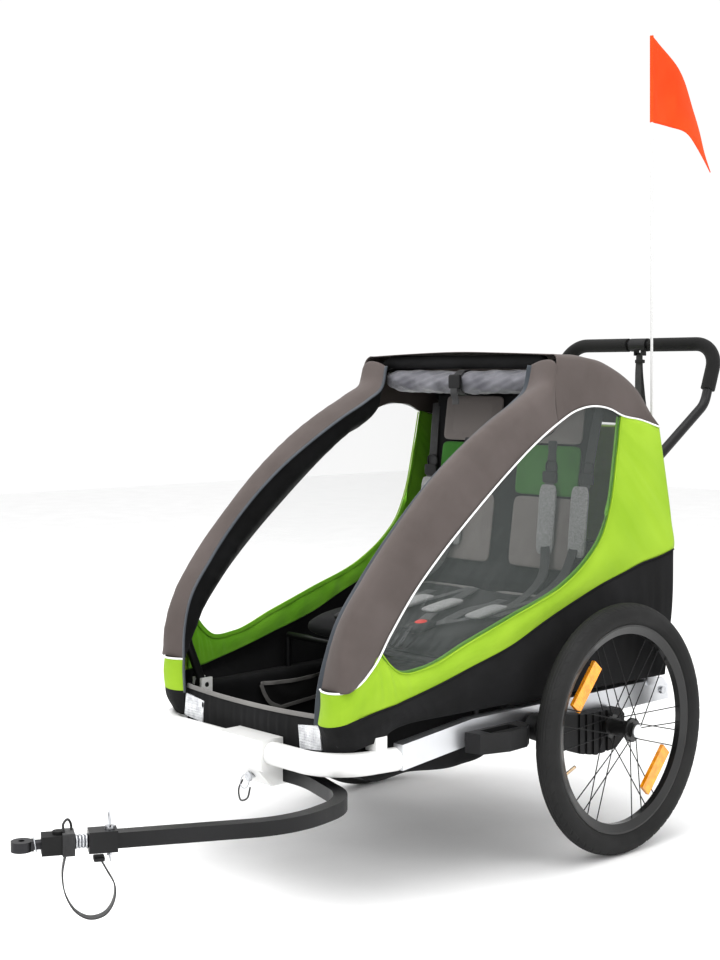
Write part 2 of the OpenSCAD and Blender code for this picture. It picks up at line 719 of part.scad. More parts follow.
module windows() {
    color([0.25, 0.3, 0.28, 0.5]) for (side = [1, -1]) on_side(side)
        translate([-cloth / 2 - window_t / 2, 0, 0]) plate(inset(window_edge, gap), window_t);
}

// Closed outline drawn clockwise, moved inwards by d
function inset(points, d) = [for (i = [0 : len(points) - 1])
    let (n = len(points), before = points[(i + n - 1) % n], after = points[(i + 1) % n],
        u = unit(points[i] - before), w = unit(after - points[i]),
        bisector = unit(left_of(u) + left_of(w)))
    points[i] + bisector * d / (bisector * left_of(u))];

// Grey bands that wrap the front pillars
module pillar_cover(side) {
    depth = 58;
    color([0.42, 0.38, 0.37]) on_side(side) translate([-depth, 0, 0])
        plate(sheet(front_edge, cloth), depth - cloth - gap);
}
module pillar_cover_left() { pillar_cover(1); }
module pillar_cover_right() { pillar_cover(-1); }

module roof_cover() {
    color([0.42, 0.38, 0.37]) intersection() {
        translate([-500, 0, 0]) plate(sheet(roof_edge, cloth), 1000);
        between_sides();
    }
}

module rear_panel() {
    edge = concat([roof_edge[5]], rear_edge);
    color([0.72, 0.86, 0.3]) difference() {
        intersection() {
            translate([-500, 0, 0]) plate(sheet([for (i = [0 : len(edge) - 1])
                edge[i] + (i == 0 ? unit(edge[1] - edge[0]) : [0, 0])], cloth), 1000);
            between_sides();
        }
        both_sides() translate([bracket_x - 4, 150, handle_pivot[1] - 26]) cube([bracket_w + 12, 150, 52]);
    }
}

module seat_cushion() {
    color([0.35, 0.32, 0.31]) translate([-seat_half, 0, 0])
        plate([[seat_y0, seat_front_z - 14], [seat_y0 + 12, seat_front_z], [seat_y1, seat_top],
            [seat_y1, seat_top - seat_t], [seat_y0 + 40, seat_front_z - seat_t],
            [seat_y0 + 10, seat_front_z - seat_t], [seat_y0, seat_front_z - 26]], 2 * seat_half);
}

module backrest() {
    top = lift([[118, 612]])[0];
    color([0.42, 0.38, 0.37]) translate([-seat_half, 0, 0])
        plate([[seat_y1 + gap, seat_top - 20], [seat_y1 + gap + 14, seat_top + 40],
            [top[0] - 14, top[1]], [top[0], top[1]], [seat_y1 + 40, seat_top - 20]],
            2 * seat_half);
}

// Face of the backrest at height z
function back_face(z) = let (top = lift([[118, 612]])[0], low = [seat_y1 + gap + 14, seat_top + 40])
    low[0] + (top[0] - 14 - low[0]) * (z - low[1]) / (top[1] - low[1]);

module shoulder_straps() {
    z0 = seat_top + 60;
    z1 = seat_top + 360 * roof_rise / nominal_rise;
    color([0.1, 0.1, 0.11]) for (x = [-240, -140, 120, 220]) translate([x, 0, 0])
        plate([[back_face(z0) - gap - 2, z0], [back_face(z1) - gap - 2, z1],
            [back_face(z1) - gap, z1], [back_face(z0) - gap, z0]], 25);
}

module shoulder_pads() {
    z0 = seat_top + 80;
    z1 = seat_top + 225;
    color([0.6, 0.6, 0.6]) for (x = [-246, -146, 114, 214]) translate([x, 0, 0])
        plate([[back_face(z0) - 12, z0], [back_face(z1) - 12, z1],
            [back_face(z1) - 2 - 2 * gap, z1], [back_face(z0) - 2 - 2 * gap, z0]], 37);
}

// Harness buckles on the seat, each with its release button
module harness_buckles() {
    for (x = [-buckle_x, buckle_x]) {
        translate([x, buckle_y, seat_top + (buckle_y - seat_y1) * tan(seat_slope)])
            rotate([seat_slope, 0, 0]) translate([0, 0, gap]) {
                color([0.08, 0.08, 0.08]) translate([-22, 0, 0]) cube([44, 60, 14]);
                color("red") translate([0, 30, 13]) cylinder(h = 4, r = 11);
            }
    }
}

// Mesh pockets inside the tub and the flag's sleeve behind it
module fabric_pockets() {
    color([0.12, 0.12, 0.12]) {
        both_sides() translate([tub_half - 6, 0, 0])
            plate([[-436, rail_top - 4], [-414, rail_top - 48], [-380, rail_top - 63],
                [-250, rail_top - 51], [-262, rail_top - 4]], 6 - gap);
        difference() {
            translate([flag_x, flag_y, flag_z0 - 4]) cylinder(h = 130, r = 6);
            translate([flag_x, flag_y, flag_z0]) cylinder(h = 200, r = flag_pole_d / 2 + run_gap);
        }
        translate([flag_x - 5, 212 + gap, flag_z0 - 4]) cube([10, flag_y - 5 - 212 - gap, 20]);
    }
}

module cover_roll() {
    half = rail_x - 72;
    color([0.45, 0.45, 0.47]) x_bar(-half, half, roll_at[0], roll_at[1], roll_r);
}

module roll_strap() {
    color([0.1, 0.1, 0.1]) {
        difference() {
            x_bar(-12, 12, roll_at[0], roll_at[1], roll_r + gap + 2);
            x_bar(-13, 13, roll_at[0], roll_at[1], roll_r + run_gap);
            translate([-13, roll_at[0] - 40, roll_at[1] + roll_r - 6]) cube([26, 80, 40]);
        }
        translate([-17, roll_at[0] - roll_r - 12, roll_at[1] - 16]) cube([34, 10, 32]);
    }
}

// ---- Hitch ----

// Places a shape drawn along +X at distance s past the hitch tube's end
module at_hitch(s) {
    translate([hitch_end[0], hitch_end[1], hitch_z]) rotate([0, 0, hitch_dir])
        translate([s, 0, 0]) children();
}

module hitch_arm() {
    color([0.12, 0.12, 0.12]) difference() {
        union() {
            translate([0, 0, hitch_z]) bent_tube(hitch_path, hitch_bend, hitch_side / 2, 2, true);
            at_hitch(-collar_len) difference() {
                translate([0, -collar_side / 2, -collar_side / 2])
                    cube([collar_len, collar_side, collar_side]);
                translate([-1, 1 - hitch_side / 2, 1 - hitch_side / 2])
                    cube([collar_len - 5, hitch_side - 2, hitch_side - 2]);
            }
        }
        translate([receiver_pin_x, hitch_y + 30, hitch_z]) rotate([90, 0, 0])
            cylinder(h = 60, r = pin_r + run_gap);
        at_hitch(lock_pin_s) translate([0, 0, -40]) cylinder(h = 80, r = pin_r + run_gap);
    }
}

module hitch_spring() {
    color([0.6, 0.61, 0.63]) at_hitch(0) rotate([0, 90, 0]) for (i = [0 : 3])
        translate([0, 0, spring_len * (i + 0.5) / 4]) rotate_extrude()
            translate([9, 0]) circle(spring_len / 8 - run_gap / 8);
}

module flex_block() {
    color([0.1, 0.1, 0.1]) at_hitch(spring_len) difference() {
        union() {
            translate([0, -17, -15]) cube([block_len, 34, 30]);
            translate([block_len / 2, 0, 10]) cylinder(h = 10, r = 9);
        }
        translate([block_len - 24, 0, 0]) rotate([0, 90, 0]) cylinder(h = 30, r = 8 + run_gap);
    }
}

module hitch_eye() {
    color([0.55, 0.56, 0.58]) at_hitch(spring_len + block_len) {
        rotate([0, 90, 0]) translate([0, 0, -23]) cylinder(h = 23 + neck_len - 1, r = 8);
        difference() {
            union() {
                translate([neck_len + eye_r - 4, 0, -eye_t / 2]) cylinder(h = eye_t, r = eye_r);
                translate([neck_len - 6, -9, -eye_t / 2]) cube([14, 18, eye_t]);
            }
            translate([neck_len + eye_r - 4, 0, -eye_t]) cylinder(h = 2 * eye_t, r = eye_bore_r);
        }
    }
}

// Steel pin with a flat head and a brass wire bail
module lock_pin() {
    top = collar_side / 2 + 2;
    at_hitch(lock_pin_s) {
        color([0.7, 0.71, 0.73]) {
            translate([0, 0, -collar_side / 2 - 8]) cylinder(h = top + collar_side / 2 + 8, r = pin_r);
            translate([0, 0, collar_side / 2 + gap]) cylinder(h = 5, r = 8);
        }
        color([0.8, 0.62, 0.25]) translate([0, 0, collar_side / 2 + gap + 15]) rotate([90, 0, 90])
            rotate_extrude() translate([13, 0]) circle(1.4);
    }
}

// Safety strap: webbing wrapped on the flex block, its loop hanging to a clip below the collar
module safety_strap() {
    band = [[36, -15 - gap], [40, -48], [34, -86], [18, -112], [-4, -124], [-26, -120], [-40, -100],
        [-42, -74], [-30, -50], [-18, -29]];
    color([0.13, 0.13, 0.13]) at_hitch(0) {
        translate([0, strap_w / 2, 0]) rotate([90, 0, 0]) linear_extrude(height = strap_w)
            polygon(sheet(band, strap_t));
        translate([spring_len + 10, 0, 0]) difference() {
            translate([0, -17 - strap_t - gap, -15 - strap_t - gap])
                cube([strap_w, 34 + 2 * (strap_t + gap), 30 + 2 * (strap_t + gap)]);
            translate([-1, -17 - gap, -15 - gap]) cube([strap_w + 2, 34 + 2 * gap, 30 + 2 * gap]);
            translate([block_len / 2 - 10, 0, 0]) cylinder(h = 60, r = 9 + gap);
        }
        translate([-26, -12, -29]) cube([18, 24, 8]);
    }
}

// ---- Flag ----

module flag_pole() {
    color("white") translate([flag_x, flag_y, flag_z0 + gap])
        cylinder(h = flag_pole_len, r = flag_pole_d / 2);
}

module flag() {
    top = flag_z0 + gap + flag_pole_len - 12;
    y = flag_y + flag_pole_d / 2 + gap;
    color([1, 0.37, 0.12]) {
        translate([flag_x - flag_cloth_t / 2, 0, 0])
            plate([for (p = flag_outline) [y + p[0], top + p[1]]], flag_cloth_t);
        translate([flag_x, flag_y, top - flag_hoist]) difference() {
            cylinder(h = flag_hoist, r = flag_pole_d / 2 + gap + 1.2);
            translate([0, 0, -1]) cylinder(h = flag_hoist + 2, r = flag_pole_d / 2 + run_gap);
        }
    }
}

at_origin() bumper_tube();
at_origin() side_rail_left();
at_origin() side_rail_right();
at_origin() cross_tubes();
at_origin() front_bracket();
at_origin() floor_tub();
at_origin() tub_walls();
at_origin() front_apron();
at_origin() front_reflectors();
at_origin() step_bumpers();
at_origin() frame_bolts();
at_origin() suspension_bushes();
at_origin() side_panel_left();
at_origin() side_panel_right();
at_origin() windows();
at_origin() pillar_cover_left();
at_origin() pillar_cover_right();
at_origin() roof_cover();
at_origin() rear_panel();
at_origin() backrest();
at_origin() seat_cushion();
at_origin() shoulder_straps();
at_origin() shoulder_pads();
at_origin() harness_buckles();
at_origin() fabric_pockets();
at_origin() cover_roll();
at_origin() roll_strap();
at_origin() rear_hoop();
at_origin() roof_bar();
at_origin() handle_brackets();
at_origin() pillar_left();
at_origin() pillar_right();
at_origin() handle_bar();
at_origin() foam_grips();
at_origin() handle_clamp();
at_origin() wrist_strap();
at_origin() swing_arm_left();
at_origin() stub_axle_left();
at_origin() hub_left();
at_origin() rim_left();
at_origin() tyre_left();
at_origin() spokes_left();
at_origin() spoke_reflectors_left();
at_origin() hub_button_left();
at_origin() swing_arm_right();
at_origin() stub_axle_right();
at_origin() hub_right();
at_origin() rim_right();
at_origin() tyre_right();
at_origin() spokes_right();
at_origin() spoke_reflectors_right();
at_origin() hub_button_right();
at_origin() hitch_arm();
at_origin() hitch_spring();
at_origin() flex_block();
at_origin() hitch_eye();
at_origin() lock_pin();
at_origin() safety_strap();
at_origin() flag_pole();
at_origin() flag();
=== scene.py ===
"""Two-seat child bicycle trailer: fabric cabin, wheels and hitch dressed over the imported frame.

Rails and stations are written in millimetres about the wheel axle's line (y = 0 above the axle);
grid_mesh() brings them into the shared frame in metres. Each surface is a grid of points."""
import bmesh
import bpy
import numpy as np
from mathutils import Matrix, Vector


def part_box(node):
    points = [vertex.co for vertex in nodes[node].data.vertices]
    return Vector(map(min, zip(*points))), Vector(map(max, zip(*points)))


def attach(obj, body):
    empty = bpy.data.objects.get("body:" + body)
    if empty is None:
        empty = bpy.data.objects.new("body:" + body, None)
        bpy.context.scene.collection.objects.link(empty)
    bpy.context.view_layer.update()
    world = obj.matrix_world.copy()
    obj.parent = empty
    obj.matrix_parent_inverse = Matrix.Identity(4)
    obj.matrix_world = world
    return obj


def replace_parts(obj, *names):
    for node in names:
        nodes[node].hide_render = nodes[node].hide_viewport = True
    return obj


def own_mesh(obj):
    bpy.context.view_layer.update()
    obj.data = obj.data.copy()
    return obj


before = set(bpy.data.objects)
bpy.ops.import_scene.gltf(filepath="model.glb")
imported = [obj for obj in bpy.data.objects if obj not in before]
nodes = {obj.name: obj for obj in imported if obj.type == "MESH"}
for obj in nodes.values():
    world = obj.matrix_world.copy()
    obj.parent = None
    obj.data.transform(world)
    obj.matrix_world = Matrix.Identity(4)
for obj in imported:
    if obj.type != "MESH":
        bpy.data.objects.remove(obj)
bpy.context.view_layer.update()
hub_low, hub_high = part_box("hub_left")
AXLE = np.array([0.0, (hub_low.y + hub_high.y) / 2, 0.0])
AXLE_Z = 252.0
WHEEL_X = 374.0
SIDES = {"left": 1, "right": -1}

# ---- Camera, floor and light ----

camera = bpy.data.objects.new("camera", bpy.data.cameras.new("camera"))
bpy.context.scene.collection.objects.link(camera)
camera.location = (2.3376, AXLE[1] - 2.5396, 0.9639)
camera.rotation_euler = (np.pi / 2, 0, np.radians(47.194))
camera.data.sensor_width = 36
camera.data.lens = 58.753
camera.data.shift_y = -0.1087
bpy.context.scene.camera = camera


def area_light(name, place_at, aim, size, power, tint=(1, 1, 1)):
    light = bpy.data.lights.new(name, "AREA")
    light.shape = "RECTANGLE"
    light.size, light.size_y = size
    light.energy = power
    light.color = tint
    lamp = bpy.data.objects.new(name, light)
    bpy.context.scene.collection.objects.link(lamp)
    away = np.array(place_at, float) - np.array(aim, float)
    lamp.location = place_at
    lamp.rotation_euler = (np.arctan2(np.hypot(away[0], away[1]), away[2]), 0,
                           np.arctan2(away[0], -away[1]))


area_light("soft_top", (0.4, -0.6, 4.2), (0, 0, 0.5), (4.5, 4.5), 120)
area_light("soft_left", (3.9, 0.2, 2.4), (0, 0, 0.5), (2.6, 2.6), 42)
area_light("soft_front", (0.6, -4.4, 2.2), (0, 0, 0.5), (2.8, 2.4), 42)
area_light("soft_right", (-3.8, -0.8, 2.6), (0, 0, 0.6), (2.6, 2.6), 34)
world = bpy.data.worlds.new("studio")
world.use_nodes = True
world.node_tree.nodes["Background"].inputs[0].default_value = (1, 1, 1, 1)
world.node_tree.nodes["Background"].inputs[1].default_value = 0.85
bpy.context.scene.world = world
bpy.context.scene.view_settings.view_transform = "Standard"
bpy.context.scene.view_settings.look = "Medium High Contrast"


# ---- Finishes ----


class Finish:
    """A material: a Principled shader whose colour drifts between two tones with a soft noise, whose
    roughness drifts with a finer one, and whose bumps are added one after another."""

    def __init__(self, name, dark, light, drift=9.0, rough=(0.5, 0.6), coords="Object", **constants):
        self.material = bpy.data.materials.new(name)
        self.material.use_nodes = True
        self.tree = self.material.node_tree
        self.shader = self.tree.nodes["Principled BSDF"]
        self.source = self.tree.nodes.new("ShaderNodeTexCoord").outputs[coords]
        self.normal = None
        self.colour = self.two_tones(self.noise(drift, 4).outputs["Fac"], dark, light, 0.35, 0.65)
        spread = self.tree.nodes.new("ShaderNodeMapRange")
        spread.inputs["To Min"].default_value, spread.inputs["To Max"].default_value = rough
        self.tree.links.new(self.noise(drift * 6, 3).outputs["Fac"], spread.inputs["Value"])
        self.tree.links.new(spread.outputs["Result"], self.shader.inputs["Roughness"])
        for socket, value in constants.items():
            self.shader.inputs[socket.replace("_", " ")].default_value = value
        self.paint(self.colour)

    def node(self, kind, **inputs):
        made = self.tree.nodes.new(kind)
        for socket, value in inputs.items():
            made.inputs[socket.replace("_", " ")].default_value = value
        return made

    def turned(self, angle=0.0, stretch=(1, 1, 1)):
        turn = self.node("ShaderNodeMapping")
        turn.inputs["Rotation"].default_value = (0, 0, angle)
        turn.inputs["Scale"].default_value = stretch
        self.tree.links.new(self.source, turn.inputs["Vector"])
        return turn.outputs["Vector"]

    def noise(self, scale, detail=3, stretch=(1, 1, 1)):
        made = self.node("ShaderNodeTexNoise", Scale=scale, Detail=detail)
        self.tree.links.new(self.turned(0, stretch), made.inputs["Vector"])
        return made

    def bands(self, spacing, axis, warp=0.0):
        """Parallel ridges a given spacing apart, in metres, along one axis."""
        made = self.node("ShaderNodeTexWave", Scale=0.31416 / spacing, Distortion=warp)
        made.bands_direction = axis
        self.tree.links.new(self.source, made.inputs["Vector"])
        return made.outputs["Fac"]

    def two_tones(self, factor, dark, light, low, high):
        ramp = self.tree.nodes.new("ShaderNodeValToRGB")
        ramp.color_ramp.elements[0].position, ramp.color_ramp.elements[1].position = low, high
        ramp.color_ramp.elements[0].color, ramp.color_ramp.elements[1].color = (*dark, 1), (*light, 1)
        self.tree.links.new(factor, ramp.inputs["Fac"])
        return ramp.outputs["Color"]

    def paint(self, colour):
        self.tree.links.new(colour, self.shader.inputs["Base Color"])
        self.colour = colour
        return self

    def both(self, a, b, how="MAXIMUM"):
        made = self.tree.nodes.new("ShaderNodeMath")
        made.operation = how
        self.tree.links.new(a, made.inputs[0])
        self.tree.links.new(b, made.inputs[1])
        return made.outputs[0]


    def bump(self, height, depth, strength=1.0):
        made = self.node("ShaderNodeBump", Strength=strength, Distance=depth)
        self.tree.links.new(height, made.inputs["Height"])
        if self.normal:
            self.tree.links.new(self.normal, made.inputs["Normal"])
        self.normal = made.outputs["Normal"]
        self.tree.links.new(self.normal, self.shader.inputs["Normal"])
        return self


def woven(name, dark, light, spacing=0.0011, crease=0.0012, sheen=0.25, rough=(0.72, 0.86), drift=7.0):
    """Plain weave: two sets of ridges across each other along the cloth, over soft creases."""
    cloth = Finish(name, dark, light, drift, rough, "UV", Sheen_Weight=sheen, Sheen_Roughness=0.4,
                   Specular_IOR_Level=0.25)
    threads = cloth.both(cloth.bands(spacing, "X"), cloth.bands(spacing, "Y"))
    cloth.bump(cloth.noise(16, 3, (1, 0.45, 1)).outputs["Fac"], crease, 0.55)
    cloth.bump(threads, 0.00022, 0.5)
    return cloth


def moulded(name, dark, light, grain=0.0011, rough=(0.45, 0.6), **constants):
    """Moulded or coated surface with a fine even grain."""
    plastic = Finish(name, dark, light, 6, rough, **constants)
    return plastic.bump(plastic.noise(1 / grain, 2).outputs["Fac"], 0.00012, 0.35)


def worn_metal(name, dark, light, rough, brush=None, **constants):
    """Metal with a faint drawn grain along the bar and small scuffs."""
    metal = Finish(name, dark, light, 5, rough, Metallic=1.0, **constants)
    return metal.bump(metal.noise(420, 2, brush or (1, 0.08, 1)).outputs["Fac"], 0.00006, 0.4)


GREEN = woven("green_cloth", (0.25, 0.41, 0.024), (0.31, 0.48, 0.036), sheen=0.1)
GREEN_INSIDE = woven("green_lining", (0.15, 0.40, 0.02), (0.21, 0.49, 0.035))
GREY = woven("grey_brown_cloth", (0.092, 0.077, 0.072), (0.115, 0.097, 0.092), sheen=0.1)
BLACK = woven("black_cloth", (0.007, 0.007, 0.0074), (0.013, 0.013, 0.014), sheen=0.04)
SEAT = woven("seat_cloth", (0.17, 0.152, 0.145), (0.215, 0.195, 0.186), 0.0016)
SEAT_GREEN = woven("seat_green_cloth", (0.035, 0.14, 0.02), (0.05, 0.19, 0.028), 0.0016)
BINDING = woven("grey_blue_binding", (0.05, 0.058, 0.068), (0.075, 0.083, 0.094), 0.0009, 0.0003)
LIGHT_BINDING = woven("light_grey_binding", (0.16, 0.155, 0.15), (0.22, 0.215, 0.205), 0.0009, 0.0003)
PIPING = Finish("reflective_piping", (0.72, 0.72, 0.72), (0.85, 0.85, 0.85), 30, (0.25, 0.35))
PIPING.bump(PIPING.noise(900, 2).outputs["Fac"], 0.0002, 0.4)
SATIN = woven("satin_cover", (0.10, 0.10, 0.115), (0.20, 0.20, 0.22), 0.0008, 0.004, 0.5, (0.32, 0.45), 16)
MELANGE = Finish("melange_pad", (0.20, 0.20, 0.20), (0.31, 0.31, 0.31), 300, (0.85, 0.95), "Object",
                 Sheen_Weight=0.4, Sheen_Roughness=0.5)
MELANGE.bump(MELANGE.noise(700, 3).outputs["Fac"], 0.0006, 0.7)
WEBBING = Finish("ribbed_webbing", (0.010, 0.010, 0.011), (0.022, 0.022, 0.023), 40, (0.55, 0.7), "UV",
                 Sheen_Weight=0.2)
WEBBING.bump(WEBBING.bands(0.0021, "Y"), 0.0004, 0.7).bump(WEBBING.bands(0.0012, "X"), 0.0002, 0.4)
MESH_CLOTH = woven("mesh_cloth", (0.006, 0.006, 0.006), (0.014, 0.014, 0.014), 0.0028, 0.0015)
ORANGE = woven("orange_nylon", (0.88, 0.055, 0.006), (0.98, 0.085, 0.012), 0.0009, 0.0012, 0.03)
# Near window's film: the same film as the far window's, drawn darker and denser, painted shade over the dark cabin
# behind it
NEAR_FILM_PAINTED_SHADE = Finish("window_film", (0.10, 0.115, 0.11), (0.13, 0.145, 0.14), 5, (0.04, 0.09), "Object",
              Alpha=0.34, Specular_IOR_Level=0.9)
NEAR_FILM_PAINTED_SHADE.bump(NEAR_FILM_PAINTED_SHADE.noise(11, 3).outputs["Fac"], 0.006, 0.5)
CLEAR_FILM = Finish("far_window_film", (0.5, 0.52, 0.52), (0.62, 0.64, 0.64), 5, (0.05, 0.1), "Object",
                    Alpha=0.10, Specular_IOR_Level=0.5)
CLEAR_FILM.bump(CLEAR_FILM.noise(9, 3).outputs["Fac"], 0.004, 0.4)

WHITE = moulded("white_powder_coat", (0.70, 0.70, 0.69), (0.76, 0.76, 0.75), 0.0018, (0.28, 0.38), Coat_Weight=0.3)
SILVER = worn_metal("silver_rail", (0.62, 0.63, 0.65), (0.72, 0.73, 0.75), (0.32, 0.42))
TUBE = moulded("black_tube", (0.006, 0.006, 0.0065), (0.011, 0.011, 0.012), 0.0009, (0.34, 0.46),
               Specular_IOR_Level=0.35)
PLASTIC = moulded("black_plastic", (0.009, 0.009, 0.0095), (0.016, 0.016, 0.017), 0.0007, (0.5, 0.62),
                  Specular_IOR_Level=0.35)
STEEL = worn_metal("zinc_steel", (0.45, 0.46, 0.48), (0.60, 0.61, 0.63), (0.22, 0.36))
DARK_STEEL = worn_metal("dark_steel", (0.05, 0.05, 0.053), (0.09, 0.09, 0.095), (0.35, 0.5))
BRASS = worn_metal("brass_wire", (0.62, 0.46, 0.30), (0.75, 0.58, 0.40), (0.22, 0.32))
RUBBER = moulded("rubber", (0.008, 0.008, 0.008), (0.014, 0.014, 0.014), 0.0014, (0.6, 0.75),
                 Specular_IOR_Level=0.3)
FOAM = moulded("foam", (0.0085, 0.0085, 0.0085), (0.015, 0.015, 0.015), 0.0022, (0.82, 0.92), Sheen_Weight=0.08,
               Specular_IOR_Level=0.25)
TYRE = moulded("tyre_rubber", (0.013, 0.013, 0.013), (0.022, 0.022, 0.022), 0.0016, (0.62, 0.8),
               Specular_IOR_Level=0.3)
RIM = moulded("black_rim", (0.008, 0.008, 0.008), (0.014, 0.014, 0.014), 0.0009, (0.28, 0.38), Coat_Weight=0.25)
AMBER = Finish("amber_reflector", (0.80, 0.27, 0.004), (1.0, 0.40, 0.012), 60, (0.12, 0.2), "Object",
               Coat_Weight=0.8, Coat_Roughness=0.06)
AMBER.bump(AMBER.both(AMBER.bands(0.004, "DIAGONAL"), AMBER.noise(260, 1).outputs["Fac"]), 0.0012, 0.6)
PRISM = Finish("prism_reflector", (0.55, 0.56, 0.58), (0.82, 0.83, 0.85), 90, (0.12, 0.25), "Object",
               Coat_Weight=0.8, Coat_Roughness=0.05, Metallic=0.35)
PRISM.bump(PRISM.both(PRISM.bands(0.005, "X"), PRISM.bands(0.005, "Z")), 0.0012, 0.7)
BUTTON = worn_metal("satin_button", (0.62, 0.63, 0.64), (0.72, 0.73, 0.74), (0.25, 0.33))
POLE = moulded("white_pole", (0.55, 0.55, 0.545), (0.62, 0.62, 0.615), 0.003, (0.3, 0.4))
RED = moulded("red_button", (0.60, 0.02, 0.012), (0.75, 0.035, 0.02), 0.0009, (0.35, 0.45))
GROUND = moulded("pale_ground", (0.90, 0.90, 0.90), (0.93, 0.93, 0.93), 0.002, (0.85, 0.95))

CAD_FINISHES = {
    "bumper_tube": WHITE, "side_rail_left": SILVER, "side_rail_right": SILVER, "cross_tubes": TUBE,
    "front_bracket": WHITE, "front_reflectors": PRISM, "step_bumpers": PLASTIC,
    "frame_bolts": STEEL, "suspension_bushes": RUBBER, "rear_hoop": TUBE, "roof_bar": TUBE,
    "handle_brackets": PLASTIC, "pillar_left": TUBE, "pillar_right": TUBE, "handle_bar": TUBE,
    "foam_grips": FOAM, "handle_clamp": PLASTIC, "hitch_arm": TUBE, "hitch_spring": STEEL,
    "flex_block": RUBBER, "lock_pin": STEEL, "hitch_eye": DARK_STEEL, "flag_pole": POLE,
}
for side in SIDES:
    CAD_FINISHES.update({
        "swing_arm_" + side: PLASTIC, "stub_axle_" + side: STEEL, "hub_" + side: RIM,
        "rim_" + side: RIM, "spokes_" + side: TUBE, "spoke_reflectors_" + side: AMBER,
        "hub_button_" + side: BUTTON, "tyre_" + side: TYRE})
for name, finish in CAD_FINISHES.items():
    if not nodes[name].material_slots:
        nodes[name].data.materials.append(None)
    for slot in nodes[name].material_slots:
        slot.material = finish.material


# ---- Shapes ----

def along(points, count, even=True):
    """A smooth line through the points: each span is a cubic whose end slopes are the mean slopes of
    the line there, read at equal steps of length, or at equal steps of point number."""
    p = np.asarray(points, float)
    reach = np.r_[0, np.cumsum(np.linalg.norm(np.diff(p, axis=0), axis=1))]
    at = (np.linspace(0, reach[-1], count) if even
          else np.interp(np.linspace(0, len(p) - 1, count), np.arange(len(p)), reach))
    slope = np.gradient(p, reach, axis=0)
    i = np.clip(np.searchsorted(reach, at, "right") - 1, 0, len(p) - 2)
    h = (reach[i + 1] - reach[i])[:, None]
    s = (at - reach[i])[:, None] / h
    return ((2 * s**3 - 3 * s**2 + 1) * p[i] + (s**3 - 2 * s**2 + s) * h * slope[i]
            + (3 * s**2 - 2 * s**3) * p[i + 1] + (s**3 - s**2) * h * slope[i + 1])


def loft(rails, count):
    """The surface that crosses from each rail to the next with a cubic through all of them, read at
    equal steps of rail number. Its grid is [along, across]."""
    r = np.stack(rails)
    t = np.linspace(0, len(r) - 1, count)
    i = np.clip(t.astype(int), 0, len(r) - 2)
    s = (t - i)[:, None, None]
    slope = np.gradient(r, axis=0)
    grid = ((2 * s**3 - 3 * s**2 + 1) * r[i] + (s**3 - 2 * s**2 + s) * slope[i]
            + (3 * s**2 - 2 * s**3) * r[i + 1] + (s**3 - s**2) * slope[i + 1])
    return grid.transpose(1, 0, 2)


def unit(v):
    return v / np.maximum(np.linalg.norm(v, axis=-1, keepdims=True), 1e-9)


def grid_mesh(name, grid, finish, body, ring_u=False, ring_v=False, out=None, thick=0.0, caps=False,
              smooth=True):
    """A mesh over a grid of points in axle millimetres. Its UV map is the length along each way of
    the grid, in metres. Faces turn to look along out, or are recalculated when the shape is closed."""
    nu, nv = grid.shape[:2]
    points = grid.reshape(-1, 3) / 1000 + AXLE
    number = np.arange(nu * nv).reshape(nu, nv)
    rows = np.arange(nu if ring_u else nu - 1)
    cols = np.arange(nv if ring_v else nv - 1)
    a, b = np.meshgrid(rows, cols, indexing="ij")
    a2, b2 = (a + 1) % nu, (b + 1) % nv
    quads = np.stack([number[a, b], number[a2, b], number[a2, b2], number[a, b2]], -1).reshape(-1, 4)
    if out is not None:
        p = points[quads]
        facing = np.cross(p[:, 2] - p[:, 0], p[:, 3] - p[:, 1])
        if (facing @ np.asarray(out, float)).sum() < 0:
            quads = quads[:, ::-1]
    mesh = bpy.data.meshes.new(name)
    faces = quads.tolist()
    if caps:
        faces += [number[0].tolist(), number[-1].tolist()[::-1]]
    mesh.from_pydata(points.tolist(), [], faces)
    step_u = np.linalg.norm(np.diff(np.concatenate([grid, grid[:1]]), axis=0), axis=2).mean(1) / 1000
    step_v = np.linalg.norm(np.diff(np.concatenate([grid, grid[:, :1]], 1), axis=1), axis=2).mean(0) / 1000
    u = np.r_[0, np.cumsum(step_u)]
    v = np.r_[0, np.cumsum(step_v)]
    corner_u = np.stack([u[a], u[a + 1], u[a + 1], u[a]], -1).reshape(-1, 4)
    corner_v = np.stack([v[b], v[b], v[b + 1], v[b + 1]], -1).reshape(-1, 4)
    if out is not None and (facing @ np.asarray(out, float)).sum() < 0:
        corner_u, corner_v = corner_u[:, ::-1], corner_v[:, ::-1]
    layer = mesh.uv_layers.new(name="UVMap")
    uv = np.zeros((len(mesh.loops), 2))
    uv[:corner_u.size] = np.stack([corner_u, corner_v], -1).reshape(-1, 2)
    layer.data.foreach_set("uv", uv.ravel())
    if out is None or caps:
        work = bmesh.new()
        work.from_mesh(mesh)
        bmesh.ops.recalc_face_normals(work, faces=work.faces)
        work.to_mesh(mesh)
        work.free()
    mesh.shade_smooth() if smooth else mesh.shade_flat()
    mesh.materials.append(finish.material)
    piece = bpy.data.objects.new(name, mesh)
    bpy.context.scene.collection.objects.link(piece)
    if thick:
        wall = piece.modifiers.new("thickness", "SOLIDIFY")
        wall.thickness, wall.offset = thick / 1000, -1
    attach(piece, body)
    return piece


def carried(path, across, section, ring=False):
    """A section carried along a path. Across is the direction its first coordinate keeps to, squared
    up to the path; the section may be one outline or one for each point of the path."""
    p = np.asarray(path, float)
    step = np.roll(p, -1, 0) - np.roll(p, 1, 0) if ring else np.gradient(p, axis=0)
    t = unit(step)
    wide = np.broadcast_to(np.asarray(across, float), p.shape)
    wide = unit(wide - (wide * t).sum(1, keepdims=True) * t)
    tall = np.cross(t, wide)
    s = np.asarray(section, float)
    s = np.broadcast_to(s, (len(p),) + s.shape[-2:])
    return p[:, None] + s[..., :1] * wide[:, None] + s[..., 1:] * tall[:, None]


